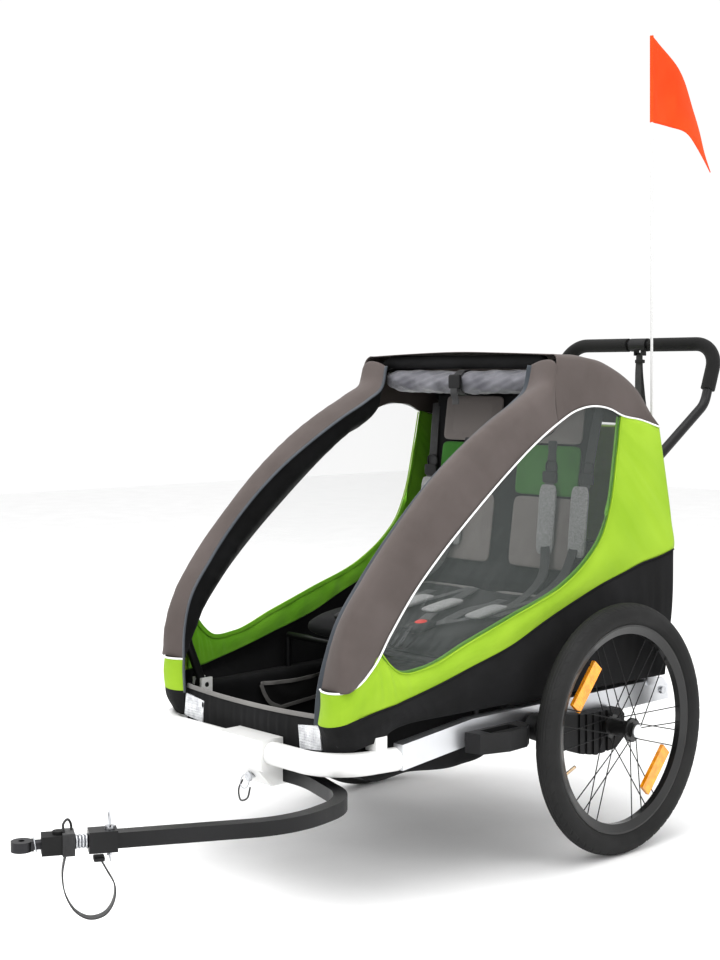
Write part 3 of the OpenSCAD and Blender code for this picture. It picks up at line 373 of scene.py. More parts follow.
def ring_section(radius, count=12, tall=None):
    a = np.linspace(0, 2 * np.pi, count, endpoint=False)
    return np.stack([radius * np.cos(a), (tall or radius) * np.sin(a)], -1)


def flat_section(width, thick, count=16):
    """A strap's section: an oval squared off by raising its sine and cosine to a small power."""
    a = np.linspace(0, 2 * np.pi, count, endpoint=False) + np.pi / count
    c, s = np.cos(a), np.sin(a)
    return np.stack([width / 2 * np.sign(c) * np.abs(c)**0.35, thick / 2 * np.sign(s) * np.abs(s)**0.6], -1)


def tube(name, path, radius, finish, body, across=(0, 0, 1), ring=False, count=10):
    return grid_mesh(name, carried(path, across, ring_section(radius, count), ring), finish, body,
                     ring_u=ring, ring_v=True, caps=not ring)


def strap(name, path, width, thick, finish, body, across=(1, 0, 0), ring=False):
    return grid_mesh(name, carried(path, across, flat_section(width, thick), ring), finish, body,
                     ring_u=ring, ring_v=True, caps=not ring)


def block(name, centre, size, finish, body, turn=0.0, power=0.3):
    """A rounded block: a sphere whose sines and cosines are raised to a small power, stretched to
    size and turned about Z."""
    u = np.linspace(-np.pi / 2, np.pi / 2, 15)[1:-1, None]
    v = np.linspace(0, 2 * np.pi, 32, endpoint=False)[None]
    soft = lambda w: np.sign(w) * np.abs(w)**power
    shape = np.stack([soft(np.cos(u)) * soft(np.cos(v)), soft(np.cos(u)) * soft(np.sin(v)),
                      soft(np.sin(u)) * np.ones_like(v)], -1) * np.asarray(size, float) / 2
    c, s = np.cos(turn), np.sin(turn)
    grid = shape @ np.array([[c, s, 0], [-s, c, 0], [0, 0, 1]]) + np.asarray(centre, float)
    return grid_mesh(name, grid, finish, body, ring_v=True, caps=True)


def cloth(name, grid, finish, body, out, held="stretched", on=(), thick=1.2, slot=None, pieces=()):
    """A sheet of cloth: a mesh over the grid, of the grid's own length, width and area."""
    piece = grid_mesh(name, grid, finish, body, out=out, thick=thick)
    return piece


def mirrored(points, side):
    return np.asarray(points, float) * (side, 1, 1)


def side_x(y, z):
    """Outer face of the cabin side, leaning in towards the roof and towards the nose."""
    return 304.3 + 0.05 * y - 0.0374 * (z - 600)


def on_side(points, outward=0.0):
    p = np.asarray(points, float)
    return np.column_stack([side_x(p[:, 0], p[:, 1]) + outward, p])


def folds(count, across, size, seed=0.0):
    """Soft unequal folds: a sine across the length whose phase wanders, faded by a bell across."""
    u = np.linspace(0, 1, count)[:, None]
    v = np.linspace(0, 1, across)[None]
    wave = (np.sin(2 * np.pi * (17 * u + 0.35 * np.sin(9 * u + seed)) + seed)
            + 0.6 * np.sin(2 * np.pi * (31 * u + 0.2 * v) + 2 * seed))
    return size * wave * np.sin(np.pi * v)**0.7 * (0.35 + 0.65 * np.sin(np.pi * (u * 1.6 + seed))**2)


def fold_with_frame(piece):
    """Gives the piece its own copy of its mesh."""
    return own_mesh(piece)


# ---- Cabin side ----

# Stations on one side, as (y, z): lower edge of the window opening and the green panel, from the nose up
GREEN_TOP = [(-604, 436), (-588, 458), (-571, 445), (-548, 426), (-512, 417), (-470, 423), (-361, 457),
             (-250, 491), (-170, 516), (-93, 543), (-20, 588), (22, 629), (52, 690), (66, 740), (76, 790),
             (84, 822), (89, 850), (95, 881)]
GREEN_LOW = [(-600, 356), (-572, 360), (-550, 363), (-528, 368), (-500, 374), (-455, 384), (-361, 408),
             (-245, 439), (-150, 477), (-60, 509), (20, 535), (90, 553), (150, 569), (200, 577), (252, 590),
             (248, 653), (236, 739), (217, 854)]
BLACK_LOW = [(-590, 305), (-560, 318), (-520, 325), (-490, 326), (-460, 326), (-420, 326), (-361, 326),
             (-245, 326), (-150, 326), (-60, 326), (20, 326), (90, 326), (150, 326), (180, 326), (212, 326)]
# The nose corner in 3-D: top and bottom of the green, and the bottom of the black
NOSE_TOP = [(207, -665, 396), (226, -677, 396), (250, -679, 396), (268, -665, 397), (277, -642, 405)]
NOSE_LOW = [(201, -666, 333), (222, -677, 333), (250, -678, 335), (270, -664, 340), (279, -640, 348)]
NOSE_FOOT = [(200, -657, 283), (222, -661, 283), (248, -656, 285), (266, -640, 289), (277, -618, 296)]
# Pillar band, from the nose to the roof: inner edge (x, y, z), front edge (y, z), piping (y, z)
BAND_EDGE = [(207, -665, 396), (216, -657, 450), (223, -638, 510), (228, -580, 590), (231, -502, 675),
             (229, -408, 757), (224, -305, 826), (220, -225, 872), (217, -150, 910), (214, -112, 935),
             (214, -96, 985)]
BAND_FRONT = [(-668, 397), (-665, 450), (-644, 510), (-590, 590), (-510, 675), (-415, 764), (-312, 840),
              (-232, 885), (-166, 917), (-118, 944), (-98, 992)]
BAND_PIPE = [(-642, 405), (-604, 436), (-560, 492), (-500, 562), (-431, 627), (-345, 698), (-239, 779),
             (-165, 830), (-99, 868), (-106, 905), (-106, 935)]
ROOF_PIPE = [(-98, 868), (-46, 892), (10, 901), (61, 894), (95, 881), (156, 870), (217, 854)]
ROOF_EDGE = [(-92, 1007), (-26, 1005), (47, 993), (112, 966), (159, 934), (190, 896), (215, 857)]
REAR_EDGE = [(217, 854), (228, 800), (238, 739), (249, 653), (252, 590), (249, 535), (232, 482),
             (214, 425), (213, 326)]
WINDOW_TOP = [(-584, 466), (-560, 492), (-500, 562), (-431, 627), (-345, 698), (-239, 778), (-165, 829),
              (-98, 866), (-46, 890), (10, 899), (61, 892), (92, 880)]
WINDOW_LOW = [(-583, 461), (-566, 441), (-540, 421), (-480, 420), (-365, 455), (-250, 491), (-93, 543),
              (-20, 588), (22, 629), (52, 690), (74, 780), (93, 878)]

STATIONS = 181
for side, hand in SIDES.items():
    outwards = (hand, -0.25, 0)
    top = along(np.vstack([NOSE_TOP, on_side(GREEN_TOP)]), STATIONS, even=False)
    low = along(np.vstack([NOSE_LOW, on_side(GREEN_LOW, 1)]), STATIONS, even=False)
    middle = (top + low) / 2 + (4, 0, 0)
    grid = loft([top, middle, low], 25)
    grid[..., 0] += folds(STATIONS, 25, 0.9, 1.0)
    green = cloth("green_side_" + side, mirrored(grid, hand), GREEN, "chassis", outwards,
                  on=["side_rail_" + side], slot="green_fabric")
    fold_with_frame(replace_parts(green, "side_panel_" + side))

    low_to_rear = along(np.vstack([NOSE_LOW, on_side(GREEN_LOW[:15], 1)]), STATIONS, even=False)
    foot = along(np.vstack([NOSE_FOOT, on_side(BLACK_LOW)]), STATIONS, even=False)
    belly = (low_to_rear * 0.55 + foot * 0.45) + (7, 0, 0)
    grid = loft([low_to_rear, belly, foot], 25)
    grid[..., 0] += folds(STATIONS, 25, 1.2, 2.3)
    fold_with_frame(cloth("black_side_" + side, mirrored(grid, hand), BLACK, "chassis", outwards,
                          on=["side_rail_" + side], slot="black_fabric"))

    edge = along(BAND_EDGE, STATIONS)
    share = np.linspace(0, 1, STATIONS)
    front = along(on_side(BAND_FRONT), STATIONS)
    pipe = along(on_side(BAND_PIPE), STATIONS)
    inner = edge * 0.62 + front * 0.38 + (front - pipe) * 0.12 * (0, 1, 1)
    corner = edge * 0.2 + front * 0.8 + (front - pipe) * 0.10 * (0, 1, 1)
    shoulder = front * 0.86 + pipe * 0.14 + (1.5, 0, 0)
    flank = front * 0.45 + pipe * 0.55 + (3, 0, 0)
    grid = loft([edge, inner, corner, shoulder, flank, pipe], 36)
    grid[..., 0] += folds(STATIONS, 36, 0.5, 0.4)
    band = cloth("pillar_band_" + side, mirrored(grid, hand), GREY, "chassis", (hand, -1, 0.6),
                 on=["pillar_" + side], slot="grey_fabric")
    fold_with_frame(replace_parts(band, "pillar_cover_" + side))

    # Lining behind the band: black cloth round the pillar, back to the top of the window
    back = along(on_side([(y + 4, z - 3) for y, z in BAND_PIPE], -4), STATIONS)
    sleeve = edge * 0.7 + back * 0.3 + (-6, 0, 0) + (back - front) * 0.25 * (0, 1, 1)
    grid = loft([edge + (1, 2, -1), sleeve, back], 15)
    grid[..., 0] += folds(STATIONS, 15, 0.8, 3.1)
    fold_with_frame(cloth("pillar_lining_" + side, mirrored(grid, hand), BLACK, "chassis", (-hand, 0.4, -0.3),
                          on=["pillar_" + side], thick=0.8, slot="black_fabric"))

    # Binding along the opening, from the nose to the roof bar
    line = along(np.vstack([[(201, -667, 330)], BAND_EDGE]), STATIONS)
    fold_with_frame(strap("opening_binding_" + side, mirrored(line, hand), 13, 3.4, BINDING, "chassis",
                          across=(hand * 0.8, 0.3, 0.2)))

    # Window film, with the slack of a soft window, and its far side clear; the near window's film alone is darker and
    # denser, painted shade over the cabin seen through it
    film_top, film_low = along(on_side(WINDOW_TOP, -1.5), 97), along(on_side(WINDOW_LOW, -1.5), 97)
    grid = loft([film_top, (film_top + film_low) / 2, film_low], 49)
    u, v = np.linspace(0, 1, 97)[:, None], np.linspace(0, 1, 49)[None]
    slack = (np.sin(2 * np.pi * (3.1 * u + 2.2 * v)) + 0.7 * np.sin(2 * np.pi * (6.3 * u - 3.4 * v) + 1)
             + 0.5 * np.sin(2 * np.pi * (11 * u + 7 * v) + 2))
    grid[..., 0] += 1.3 * slack * np.sin(np.pi * v)**0.8 * (0.25 + np.exp(-(u / 0.35)**2))
    # Near side: the film darkened with painted shade; far side: the clear film
    film = cloth("window_" + side, mirrored(grid, hand), NEAR_FILM_PAINTED_SHADE if hand > 0 else CLEAR_FILM, "chassis",
                 outwards, thick=0, slot="window_film")
    fold_with_frame(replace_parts(film, "windows"))

    # Lining of the green, seen through the opening, with its seam tape along the window
    lining = along(on_side(GREEN_TOP, -4), STATIONS, even=False), along(on_side(GREEN_LOW, -4), STATIONS, even=False)
    grid = loft([lining[0], (lining[0] + lining[1]) / 2 - (2, 0, 0), lining[1]], 21)
    grid[..., 0] += folds(STATIONS, 21, 1.6, 1.7)
    fold_with_frame(cloth("green_lining_" + side, mirrored(grid, hand), GREEN_INSIDE, "chassis",
                          (-hand, 0, 0), thick=0.8, slot="green_fabric"))
    seam = along(on_side(WINDOW_LOW, -6.5), STATIONS)
    fold_with_frame(strap("window_seam_" + side, mirrored(seam, hand), 9, 1.2, GREEN_INSIDE, "chassis",
                          across=(0, 0.4, 1)))

    # Light piping: round the nose, up the band, over the window and back to the roof's corner
    for n, points in enumerate([
            np.vstack([NOSE_TOP, on_side(BAND_PIPE[1:9], 2.2), on_side(ROOF_PIPE[1:], 2.2)]),
            on_side(WINDOW_LOW, 2.4), on_side([(-640, 348), *GREEN_LOW[:15]], 2.4)]):
        finish, size = ((PIPING, 2.1), (GREEN, 1.3), (BLACK, 1.4))[n]
        fold_with_frame(tube(("piping_", "window_rib_", "belt_rib_")[n] + side,
                             mirrored(along(points, 260), hand), size, finish, "chassis"))

# ---- Roof and back ----

across_roof = [on_side(ROOF_PIPE), on_side([(-108, 930), (-30, 950), (50, 944), (105, 925), (150, 902),
                                            (184, 878), (216, 856)], 3),
               on_side([(-98, 986), (-26, 990), (46, 979), (106, 954), (150, 924), (184, 889), (215, 857)], 1)]
ridge = on_side(ROOF_EDGE)
rails = [along(r, 81) for r in across_roof]
edge = along(ridge, 81)
rails += [edge - (9, 0, 1), edge - (36, 0, -1), edge * (0.5, 1, 1) + (0, 0, 5)]
half = [mirrored(r, -1) for r in rails]
grid = loft(rails + [edge * (0, 1, 1) + (0, 0, 8)] + half[::-1], 121)
grid[..., 2] += 1.1 * np.sin(np.linspace(0, 9 * np.pi, 81))[:, None] * np.sin(np.linspace(0, 14, 121))[None]
roof = cloth("roof", grid, GREY, "chassis", (0, 0.1, 1), on=["roof_bar", "rear_hoop"], slot="grey_fabric")
fold_with_frame(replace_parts(roof, "roof_cover"))


def back_sheet(points, count, bulge):
    """The back from side to side: each rail is the rear edge's line at one part of the width, with
    its corners drawn in and its middle pushed out by a cosine."""
    base = along(on_side(points), count)
    parts = np.array([1, 0.985, 0.93, 0.8, 0.5, 0.2, 0, -0.2, -0.5, -0.8, -0.93, -0.985, -1])
    lines = [base * (p, 1, 1) + (0, bulge * (1 - abs(p)**3) - 5 * (abs(p) > 0.99), 0) for p in parts]
    return loft(lines, 97)


grid = back_sheet(REAR_EDGE[:5], 61, 5)
grid[..., 1] += folds(61, 97, 1.0, 0.8) * 0.8
back = cloth("green_back", grid, GREEN, "chassis", (0, 1, 0), on=["rear_hoop"], slot="green_fabric")
fold_with_frame(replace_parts(back, "rear_panel"))
grid = back_sheet(REAR_EDGE[4:], 49, 6)
grid[..., 1] += folds(49, 97, 1.0, 2.8)
fold_with_frame(cloth("black_back", grid, BLACK, "chassis", (0, 1, 0), on=["side_rail_left"], slot="black_fabric"))
for n, (y, z, finish) in enumerate([(218, 855, PIPING), (253, 590, BLACK)]):
    half_width = side_x(y, z)
    x = np.linspace(-half_width, half_width, 90)
    arch = np.column_stack([x, y + 6.5 * (1 - np.abs(x / half_width)**3) + 1, np.full(90, z)])
    fold_with_frame(tube(("back_piping", "back_belt_rib")[n], arch, 2, finish, "chassis"))

# Black band over the roof bar, from corner to corner, dipping to a flap at each end
x = np.linspace(-262, 262, 90)
dip = np.clip((np.abs(x) - 215) / 47, 0, 1)**2
bar_line = np.column_stack([x, -66 - 26 * dip, 994 - 46 * dip])
a = np.radians(np.linspace(-70, 215, 25))
wrap = np.stack([14 * np.cos(a), 14 * np.sin(a)], -1)
grid = bar_line[:, None] + np.stack([np.zeros(25), -wrap[:, 0], wrap[:, 1]], -1)[None]
grid[..., 2] += 0.8 * np.sin(x / 13)[:, None] * np.sin(np.linspace(0, 6, 25))[None]
fold_with_frame(cloth("roof_bar_band", grid, BLACK, "chassis", (0, -0.4, 1), on=["roof_bar"], held="folded",
                      slot="black_fabric"))

# ---- Rolled cover ----

u = np.linspace(-1, 1, 241)[:, None]
a = np.linspace(0, 2 * np.pi, 72, endpoint=False)[None]
end_squeeze = 1 - 0.28 * np.abs(u)**9
puff = 1 - 0.16 * np.exp(-(u / 0.05)**2)
creases = (0.9 * np.sin(3 * a + 7 * u) + 0.8 * np.sin(5 * a - 19 * u + 1) + 0.6 * np.sin(9 * a + 31 * u)
           + 0.9 * np.sin(2 * a + 46 * u + 2) * np.exp(-((np.abs(u) - 0.93) / 0.08)**2))
radius = (24.6 + creases) * end_squeeze * puff
sag = 5 * (u**2 - 0.4)
grid = np.stack([225 * u + 0 * a, -65 + radius * 1.05 * np.cos(a), 951 + sag + radius * np.sin(a)], -1)
roll = grid_mesh("rolled_cover", grid, SATIN, "rear_frame", ring_v=True, caps=True)
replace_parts(roll, "cover_roll")
a = np.linspace(0, 2 * np.pi, 64, endpoint=False)
hoop = np.column_stack([0 * a, -65 + 26.8 * np.cos(a), 949 + 26.8 * np.sin(a)])
band = strap("roll_strap_band", hoop, 24, 2, WEBBING, "rear_frame", ring=True)
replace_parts(band, "roll_strap")
block("roll_buckle", (0, -96, 951), (33, 9, 31), PLASTIC, "rear_frame")
strap("roll_strap_tail", along([(0, -99, 938), (1, -100, 925), (3, -97, 912), (4, -98, 902)], 24), 20, 1.6,
      WEBBING, "rear_frame")

# ---- Tub, apron and seat ----

FLOOR = [(-622, 296), (-616, 262), (-600, 236), (-480, 225), (-345, 215), (-262, 232), (-246, 262), (-238, 292),
         (-220, 299), (-100, 299), (60, 299), (190, 299), (204, 306), (207, 322)]
base = along(np.column_stack([np.zeros(len(FLOOR)), FLOOR]), 121)
grid = loft([base + (x, 0, -3.5 * (1 - abs(x / 249)**4)) for x in np.linspace(-249, 249, 13)], 61)
grid[..., 2] += folds(121, 61, 0.9, 0.2)
floor = cloth("tub_floor", grid, BLACK, "chassis", (0, 0, 1), held="hung",
              on=["side_rail_left", "side_rail_right"], thick=2, slot="black_fabric")
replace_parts(floor, "floor_tub")
for side, hand in SIDES.items():
    low = [(x, y, z) for x, (y, z) in zip([249] * 14, FLOOR)]
    lip = [(251, -640, 300), (251, -632, 318), (252, -610, 325), (254, -500, 327), (254, -380, 327), (254, -280, 327),
           (254, -250, 327), (254, -235, 327), (254, -200, 327), (254, -90, 327), (254, 60, 327), (254, 170, 327),
           (254, 200, 327), (254, 208, 327)]
    outer = [(side_x(y, 328) - 4, y, 329) for _, y, _ in lip]
    rows = [along(r, 141, even=False) for r in (low, lip, outer)]
    grid = loft([rows[0], rows[0] * 0.5 + rows[1] * 0.5 + (2, 0, 0), rows[1], rows[2]], 29)
    grid[..., 0] += folds(141, 29, 0.8, 3.3) * (np.linspace(1, 0, 29) > 0.35)
    wall = cloth("tub_wall_" + side, mirrored(grid, hand), BLACK, "chassis", (-hand, 0, 0.3), held="hung",
                 on=["side_rail_" + side], slot="black_fabric")
    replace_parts(wall, "tub_walls")

    # Pocket on the tub's wall: a slack mesh front with its light binding
    corner = along([(-436, 311), (-426, 288), (-411, 268), (-382, 253)], 41)
    far = along([(-262, 311), (-260, 296), (-256, 280), (-250, 265)], 41)
    share = np.linspace(0, 1, 41)[None, :, None]
    sheet_yz = corner[:, None] * (1 - share) + far[:, None] * share
    depth = np.linspace(1, 0, 41)[:, None]**0.8 * np.sin(np.pi * np.linspace(0, 1, 41))[None]
    sheet_yz[..., 1] -= 3 * depth
    grid = np.concatenate([(244 - 9 * depth + 1.2 * np.sin(9 * depth))[..., None], sheet_yz], -1)
    pocket = cloth("wall_pocket_" + side, mirrored(grid, hand), MESH_CLOTH, "chassis", (-hand, 0, 0), held="hung",
                   on=["tub_wall_" + side], thick=0.8, slot="black_fabric")
    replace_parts(pocket, "fabric_pockets")
    frame_line = np.concatenate([grid[::-1, 0], grid[0, 1:], grid[1:, -1], grid[-1, -2::-1]])
    frame_line[:, 0] -= 1
    strap("pocket_binding_" + side, mirrored(frame_line[:-1], hand), 9, 1.4, LIGHT_BINDING, "chassis",
          across=(0.1, 0.7, 0.7), ring=True)

# Front apron: a low wall round the tub's nose, its top edge dipping and bound in light tape
x = np.linspace(-203, 203, 101)
dip = 5 * (1 - (x / 203)**2)
top = np.column_stack([x, -656 - 6 * (1 - (x / 203)**2), 343 - dip])
foot = np.column_stack([x, -657 - 4 * (1 - (x / 203)**2), np.full(101, 272.0)])
grid = loft([top, top * 0.6 + foot * 0.4 - (0, 3, 0), foot], 21)
grid[..., 1] += folds(101, 21, 0.7, 1.5)
apron = cloth("front_apron_cloth", grid, BLACK, "chassis", (0, -1, 0), on=["bumper_tube"], thick=2,
              slot="black_fabric")
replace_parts(apron, "front_apron")
strap("apron_binding", top + (0, -1, 0), 9, 4, LIGHT_BINDING, "chassis", across=(0, 0.2, 1))
inner = np.column_stack([x, np.full(101, -622.0), np.full(101, 306.0)])
grid = loft([top + (0, 3, -2), top * 0.5 + inner * 0.5 - (0, 0, 9), inner], 15)
cloth("apron_gusset", grid, SEAT, "chassis", (0, 0.3, 1), on=["front_apron_cloth"], slot="seat_fabric")
for hand in (1, -1):
    a = np.linspace(0, 2 * np.pi, 40, endpoint=False)
    for n, (radius, size) in enumerate([(11.5, 1.6), (5.5, 1.5)]):
        loop = np.column_stack([np.full(40, hand * 256.0), -653 + radius * np.cos(a) * 0.94,
                                306 + radius * np.sin(a)])
        loop[:, 0] += hand * 0.55 * (loop[:, 1] + 653)
        tube(f"nose_snap_{n}_{'left' if hand > 0 else 'right'}", loop, size, PLASTIC, "chassis",
             across=(hand, -0.8, 0), ring=True)
    block("nose_snap_stud_" + ("left" if hand > 0 else "right"), (hand * 257, -655, 306), (6, 7, 7), PLASTIC,
          "chassis", power=0.9)


def swollen(piece, pressure, cap, voxel=0.006):
    """Cloth simulation that puffs a closed pad: remeshed, blown up with gravity off, each point's
    travel capped, and its result kept as the mesh."""
    scene = bpy.context.scene
    remesh = piece.modifiers.new("remesh", "REMESH")
    remesh.mode, remesh.voxel_size, remesh.use_smooth_shade = "VOXEL", voxel, True
    bpy.context.view_layer.objects.active = piece
    bpy.ops.object.modifier_apply(modifier="remesh")
    count = len(piece.data.vertices)
    before = np.empty(count * 3)
    piece.data.vertices.foreach_get("co", before)
    sim = piece.modifiers.new("puff", "CLOTH")
    sim.settings.use_pressure = True
    sim.settings.uniform_pressure_force = pressure
    sim.settings.effector_weights.gravity = 0
    sim.settings.quality = 6
    for step in range(1, 21):
        scene.frame_set(step)
    result = piece.evaluated_get(bpy.context.evaluated_depsgraph_get())
    after = np.empty(count * 3)
    result.data.vertices.foreach_get("co", after)
    piece.modifiers.remove(sim)
    scene.frame_set(1)
    move = (after - before).reshape(-1, 3)
    length = np.linalg.norm(move, axis=1, keepdims=True)
    move *= np.minimum(1, cap / np.maximum(length, 1e-9))
    piece.data.vertices.foreach_set("co", (before + move.ravel()))
    piece.data.update()
    piece.data.shade_smooth()
    return piece


def pad(name, centre, size, finish, body, turn_x=0.0, crown=0.25, power=0.35, channels=0):
    """A stuffed pad: a squared-off ball, flattened, its faces crowned and its sewn channels pressed
    in across its length, tipped about X and put in place."""
    u = np.linspace(-np.pi / 2, np.pi / 2, 33)[1:-1, None]
    v = np.linspace(0, 2 * np.pi, 96, endpoint=False)[None]
    soft = lambda w, p: np.sign(w) * np.abs(w)**p
    p = np.stack([soft(np.cos(u), power) * soft(np.cos(v), power), soft(np.cos(u), power) * soft(np.sin(v), power),
                  soft(np.sin(u), 0.7) * np.ones_like(v)], -1)
    round_off = 1 - crown * (p[..., 0]**2 + p[..., 1]**2) / 2
    p[..., 2] *= round_off
    if channels:
        p[..., 2] *= 1 - 0.22 * np.exp(-(((p[..., 1] * channels / 2 + 0.5) % 1 - 0.5) / 0.09)**2)
    p = p * np.asarray(size, float) / 2
    c, s = np.cos(turn_x), np.sin(turn_x)
    grid = p @ np.array([[1, 0, 0], [0, c, s], [0, -s, c]]) + np.asarray(centre, float)
    piece = grid_mesh(name, grid, finish, body, ring_v=True, caps=True)
    return piece


seat_low, seat_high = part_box("seat_cushion")
SEAT_Y0, SEAT_Y1 = (seat_low.y - AXLE[1]) * 1000, (seat_high.y - AXLE[1]) * 1000
SEAT_TOP = seat_high.z * 1000
SLOPE = np.arctan2(54, 372)


def seat_z(y):
    """Height of the seat's top at y: the slope from its crease down to the front."""
    return SEAT_TOP + (y - SEAT_Y1) * np.tan(SLOPE)


middle_y = (SEAT_Y0 + SEAT_Y1) / 2
seat = pad("seat_pad", (0, middle_y, seat_z(middle_y) - 23), (2 * 231, SEAT_Y1 - SEAT_Y0 - 8, 38), BLACK, "chassis",
           SLOPE, crown=0.12, power=0.16)
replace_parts(seat, "seat_cushion")
swollen(seat, 3.0, 0.006)
for hand in (1, -1):
    label = "left" if hand > 0 else "right"
    panel = pad("seat_panel_" + label, (hand * 112, middle_y + 6, seat_z(middle_y + 6) - 5),
                (176, SEAT_Y1 - SEAT_Y0 - 44, 13), SEAT, "chassis", SLOPE, crown=0.35, power=0.2, channels=3)
    strap("crotch_strap_" + label,
          along([(hand * 105, y, seat_z(y) + 3.5 + 3 * np.sin((y + 40) / 26))
                 for y in np.linspace(-60, -290, 12)], 50),
          30, 2.2, WEBBING, "chassis")

# Backrest: each child's panel of grey-brown with a green inset, black bands between and beside them
lean = np.arctan2(104 - 48, 927 - 540)


def back_y(z):
    """Front face of the backrest at height z."""
    return 48.3 + (z - 540) * np.tan(lean)


z = np.linspace(SEAT_TOP - 14, 922, 61)
x = np.linspace(-233, 233, 121)
hollow = 3.5 * np.cos(2 * np.pi * x / 233)[None] + 2.0 * (np.abs(x) / 233)[None]**4
grid = np.stack([x[None] + 0 * z[:, None], back_y(np.maximum(z, 505))[:, None] - 2 - hollow
                 - 6 * np.exp(-((z - 512) / 16)**2)[:, None], z[:, None] + 0 * x[None]], -1)
backing = cloth("backrest_backing", grid, BLACK, "chassis", (0, -1, 0), held="hung", on=["rear_hoop"], thick=3,
                slot="seat_fabric")
fold_with_frame(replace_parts(backing, "backrest"))
for hand in (1, -1):
    label = "left" if hand > 0 else "right"
    for part, (z0, z1, finish, size) in enumerate([(548, 700, SEAT, 176), (704, 812, SEAT_GREEN, 176),
                                                   (816, 918, SEAT, 176)]):
        piece = pad(f"back_panel_{part}_{label}", (hand * 117, back_y((z0 + z1) / 2) - 7, (z0 + z1) / 2),
                    (size, (z1 - z0) / np.cos(lean), 10), finish, "chassis", np.pi / 2 - lean, crown=0.3, power=0.18)
        fold_with_frame(piece)

# ---- Harness ----

for n, (x, side_in) in enumerate([(-227.5, 1), (-127.5, -1), (132.5, 1), (232.5, -1)]):
    top = [(x - side_in * 12, back_y(900) - 6, 900), (x - side_in * 8, back_y(850) - 9, 850),
           (x - side_in * 3, back_y(790) - 11, 790), (x, back_y(730) - 12, 735)]
    piece = strap(f"shoulder_strap_top_{n}", along(top, 40), 25, 2, WEBBING, "chassis")
    fold_with_frame(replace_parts(piece, "shoulder_straps"))
    low = [(x, back_y(735) - 16, 738), (x + side_in * 4, back_y(680) - 19, 680),
           (x + side_in * 10, back_y(600) - 22, 605),
           (x + side_in * 22, back_y(540) - 34, 545), (x + side_in * 34, -70, seat_z(-70) + 12),
           (x + side_in * 30, -190, seat_z(-190) + 9)]
    piece = strap(f"shoulder_strap_low_{n}", along(low, 60), 25, 2, WEBBING, "chassis",
                  across=(1, 0, 0.05))
    fold_with_frame(piece)
    piece = pad(f"shoulder_pad_{n}", (x + side_in * 6, back_y(655) - 22, 655), (46, 150, 12), MELANGE, "chassis",
                np.pi / 2 - lean + 0.04, crown=0.35, power=0.3, channels=2)
    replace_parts(piece, "shoulder_pads")
    fold_with_frame(piece)
    piece = block(f"strap_adjuster_{n}", (x, back_y(745) - 16, 745), (38, 8, 26), PLASTIC, "chassis")
    fold_with_frame(piece)
    hook = np.array([(-15, 0), (-13, 9), (13, 9), (15, 0), (13, -9), (-13, -9)], float)
    ring = np.column_stack([x + hook[:, 0], np.full(6, back_y(765) - 14), 766 + hook[:, 1]])
    fold_with_frame(tube(f"strap_loop_{n}", along(np.vstack([ring, ring[:1]]), 36)[:-1], 1.8, PLASTIC, "chassis",
                         across=(0, 1, 0), ring=True))

for hand in (1, -1):
    label = "left" if hand > 0 else "right"
    y0 = -306
    body = pad("buckle_" + label, (hand * 105, y0, seat_z(y0) + 9), (46, 62, 17), PLASTIC, "chassis", SLOPE,
               crown=0.25, power=0.4)
    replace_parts(body, "harness_buckles")
    pad("buckle_button_" + label, (hand * 105, y0 + 2, seat_z(y0) + 17), (25, 25, 8), RED, "chassis", SLOPE,
        crown=0.4, power=0.9)
    for k in (-1, 1):
        strap(f"lap_strap_{label}_{'out' if k > 0 else 'in'}",
              along([(hand * 105 + k * 18, y0 + 22, seat_z(y0 + 22) + 9),
                     (hand * 105 + k * 48, y0 + 80, seat_z(y0 + 80) + 8),
                     (hand * 105 + k * 82, y0 + 190, seat_z(y0 + 190) + 10),
                     (hand * 105 + k * 98, -40, seat_z(-40) + 12)], 50),
              25, 2, WEBBING, "chassis", across=(1, -0.4 * k, 0))
        pad(f"lap_pad_{label}_{'out' if k > 0 else 'in'}",
                      (hand * 105 + k * 62, y0 + 128, seat_z(y0 + 128) + 13), (44, 96, 11), MELANGE, "chassis",
                      SLOPE, crown=0.35, power=0.35)

# ---- Wheels ----

tyre_low, tyre_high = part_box("tyre_left")
TYRE_R = (tyre_high.z - tyre_low.z) * 500
SECTION_R = (tyre_high.x - tyre_low.x) * 500
for side, hand in SIDES.items():
    # The tyre's wall turned round the hub: grooves sink where sines of the two angles say so
    round_hub = np.linspace(0, 2 * np.pi, 720, endpoint=False)[:, None]
    wall = np.concatenate([np.linspace(-148, -62, 22), np.linspace(-60, 60, 61), np.linspace(62, 148, 22)])
    wall = np.radians(wall)[None]
    tread = np.clip((np.radians(52) - np.abs(wall)) / 0.08, 0, 1)
    groove = sum(np.exp(-((wall - np.radians(g)) / 0.028)**2) for g in (-24, -8, 8, 24)) * np.ones_like(round_hub)
    sipe = (np.clip(np.cos(60 * round_hub + 5 * np.abs(wall)) * 7 - 6, 0, 1)
            * np.clip((np.abs(wall) - 0.46) / 0.05, 0, 1))
    bead = 0.5 * np.exp(-((np.abs(wall) - np.radians(118)) / 0.05)**2)
    r = SECTION_R - 0.1 - tread * (1.1 * groove + 1.3 * sipe) - (1 - tread) * 0.7 + bead
    reach = TYRE_R - SECTION_R + r * np.cos(wall)
    grid = np.stack([hand * WHEEL_X + r * np.sin(wall), reach * np.cos(round_hub),
                     AXLE_Z + reach * np.sin(round_hub)], -1)
    tyre = grid_mesh("tyre_tread_" + side, grid, TYRE, "wheel_" + side, ring_u=True)
    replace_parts(tyre, "tyre_" + side)
    turn = np.radians(200)
    stem = [(hand * WHEEL_X, y * np.cos(turn), AXLE_Z + y * np.sin(turn)) for y in range(187, 156, -6)]
    tube("valve_" + side, along(stem, 12), 3.1, BRASS, "wheel_" + side, across=(1, 0, 0))

# ---- Hitch ----

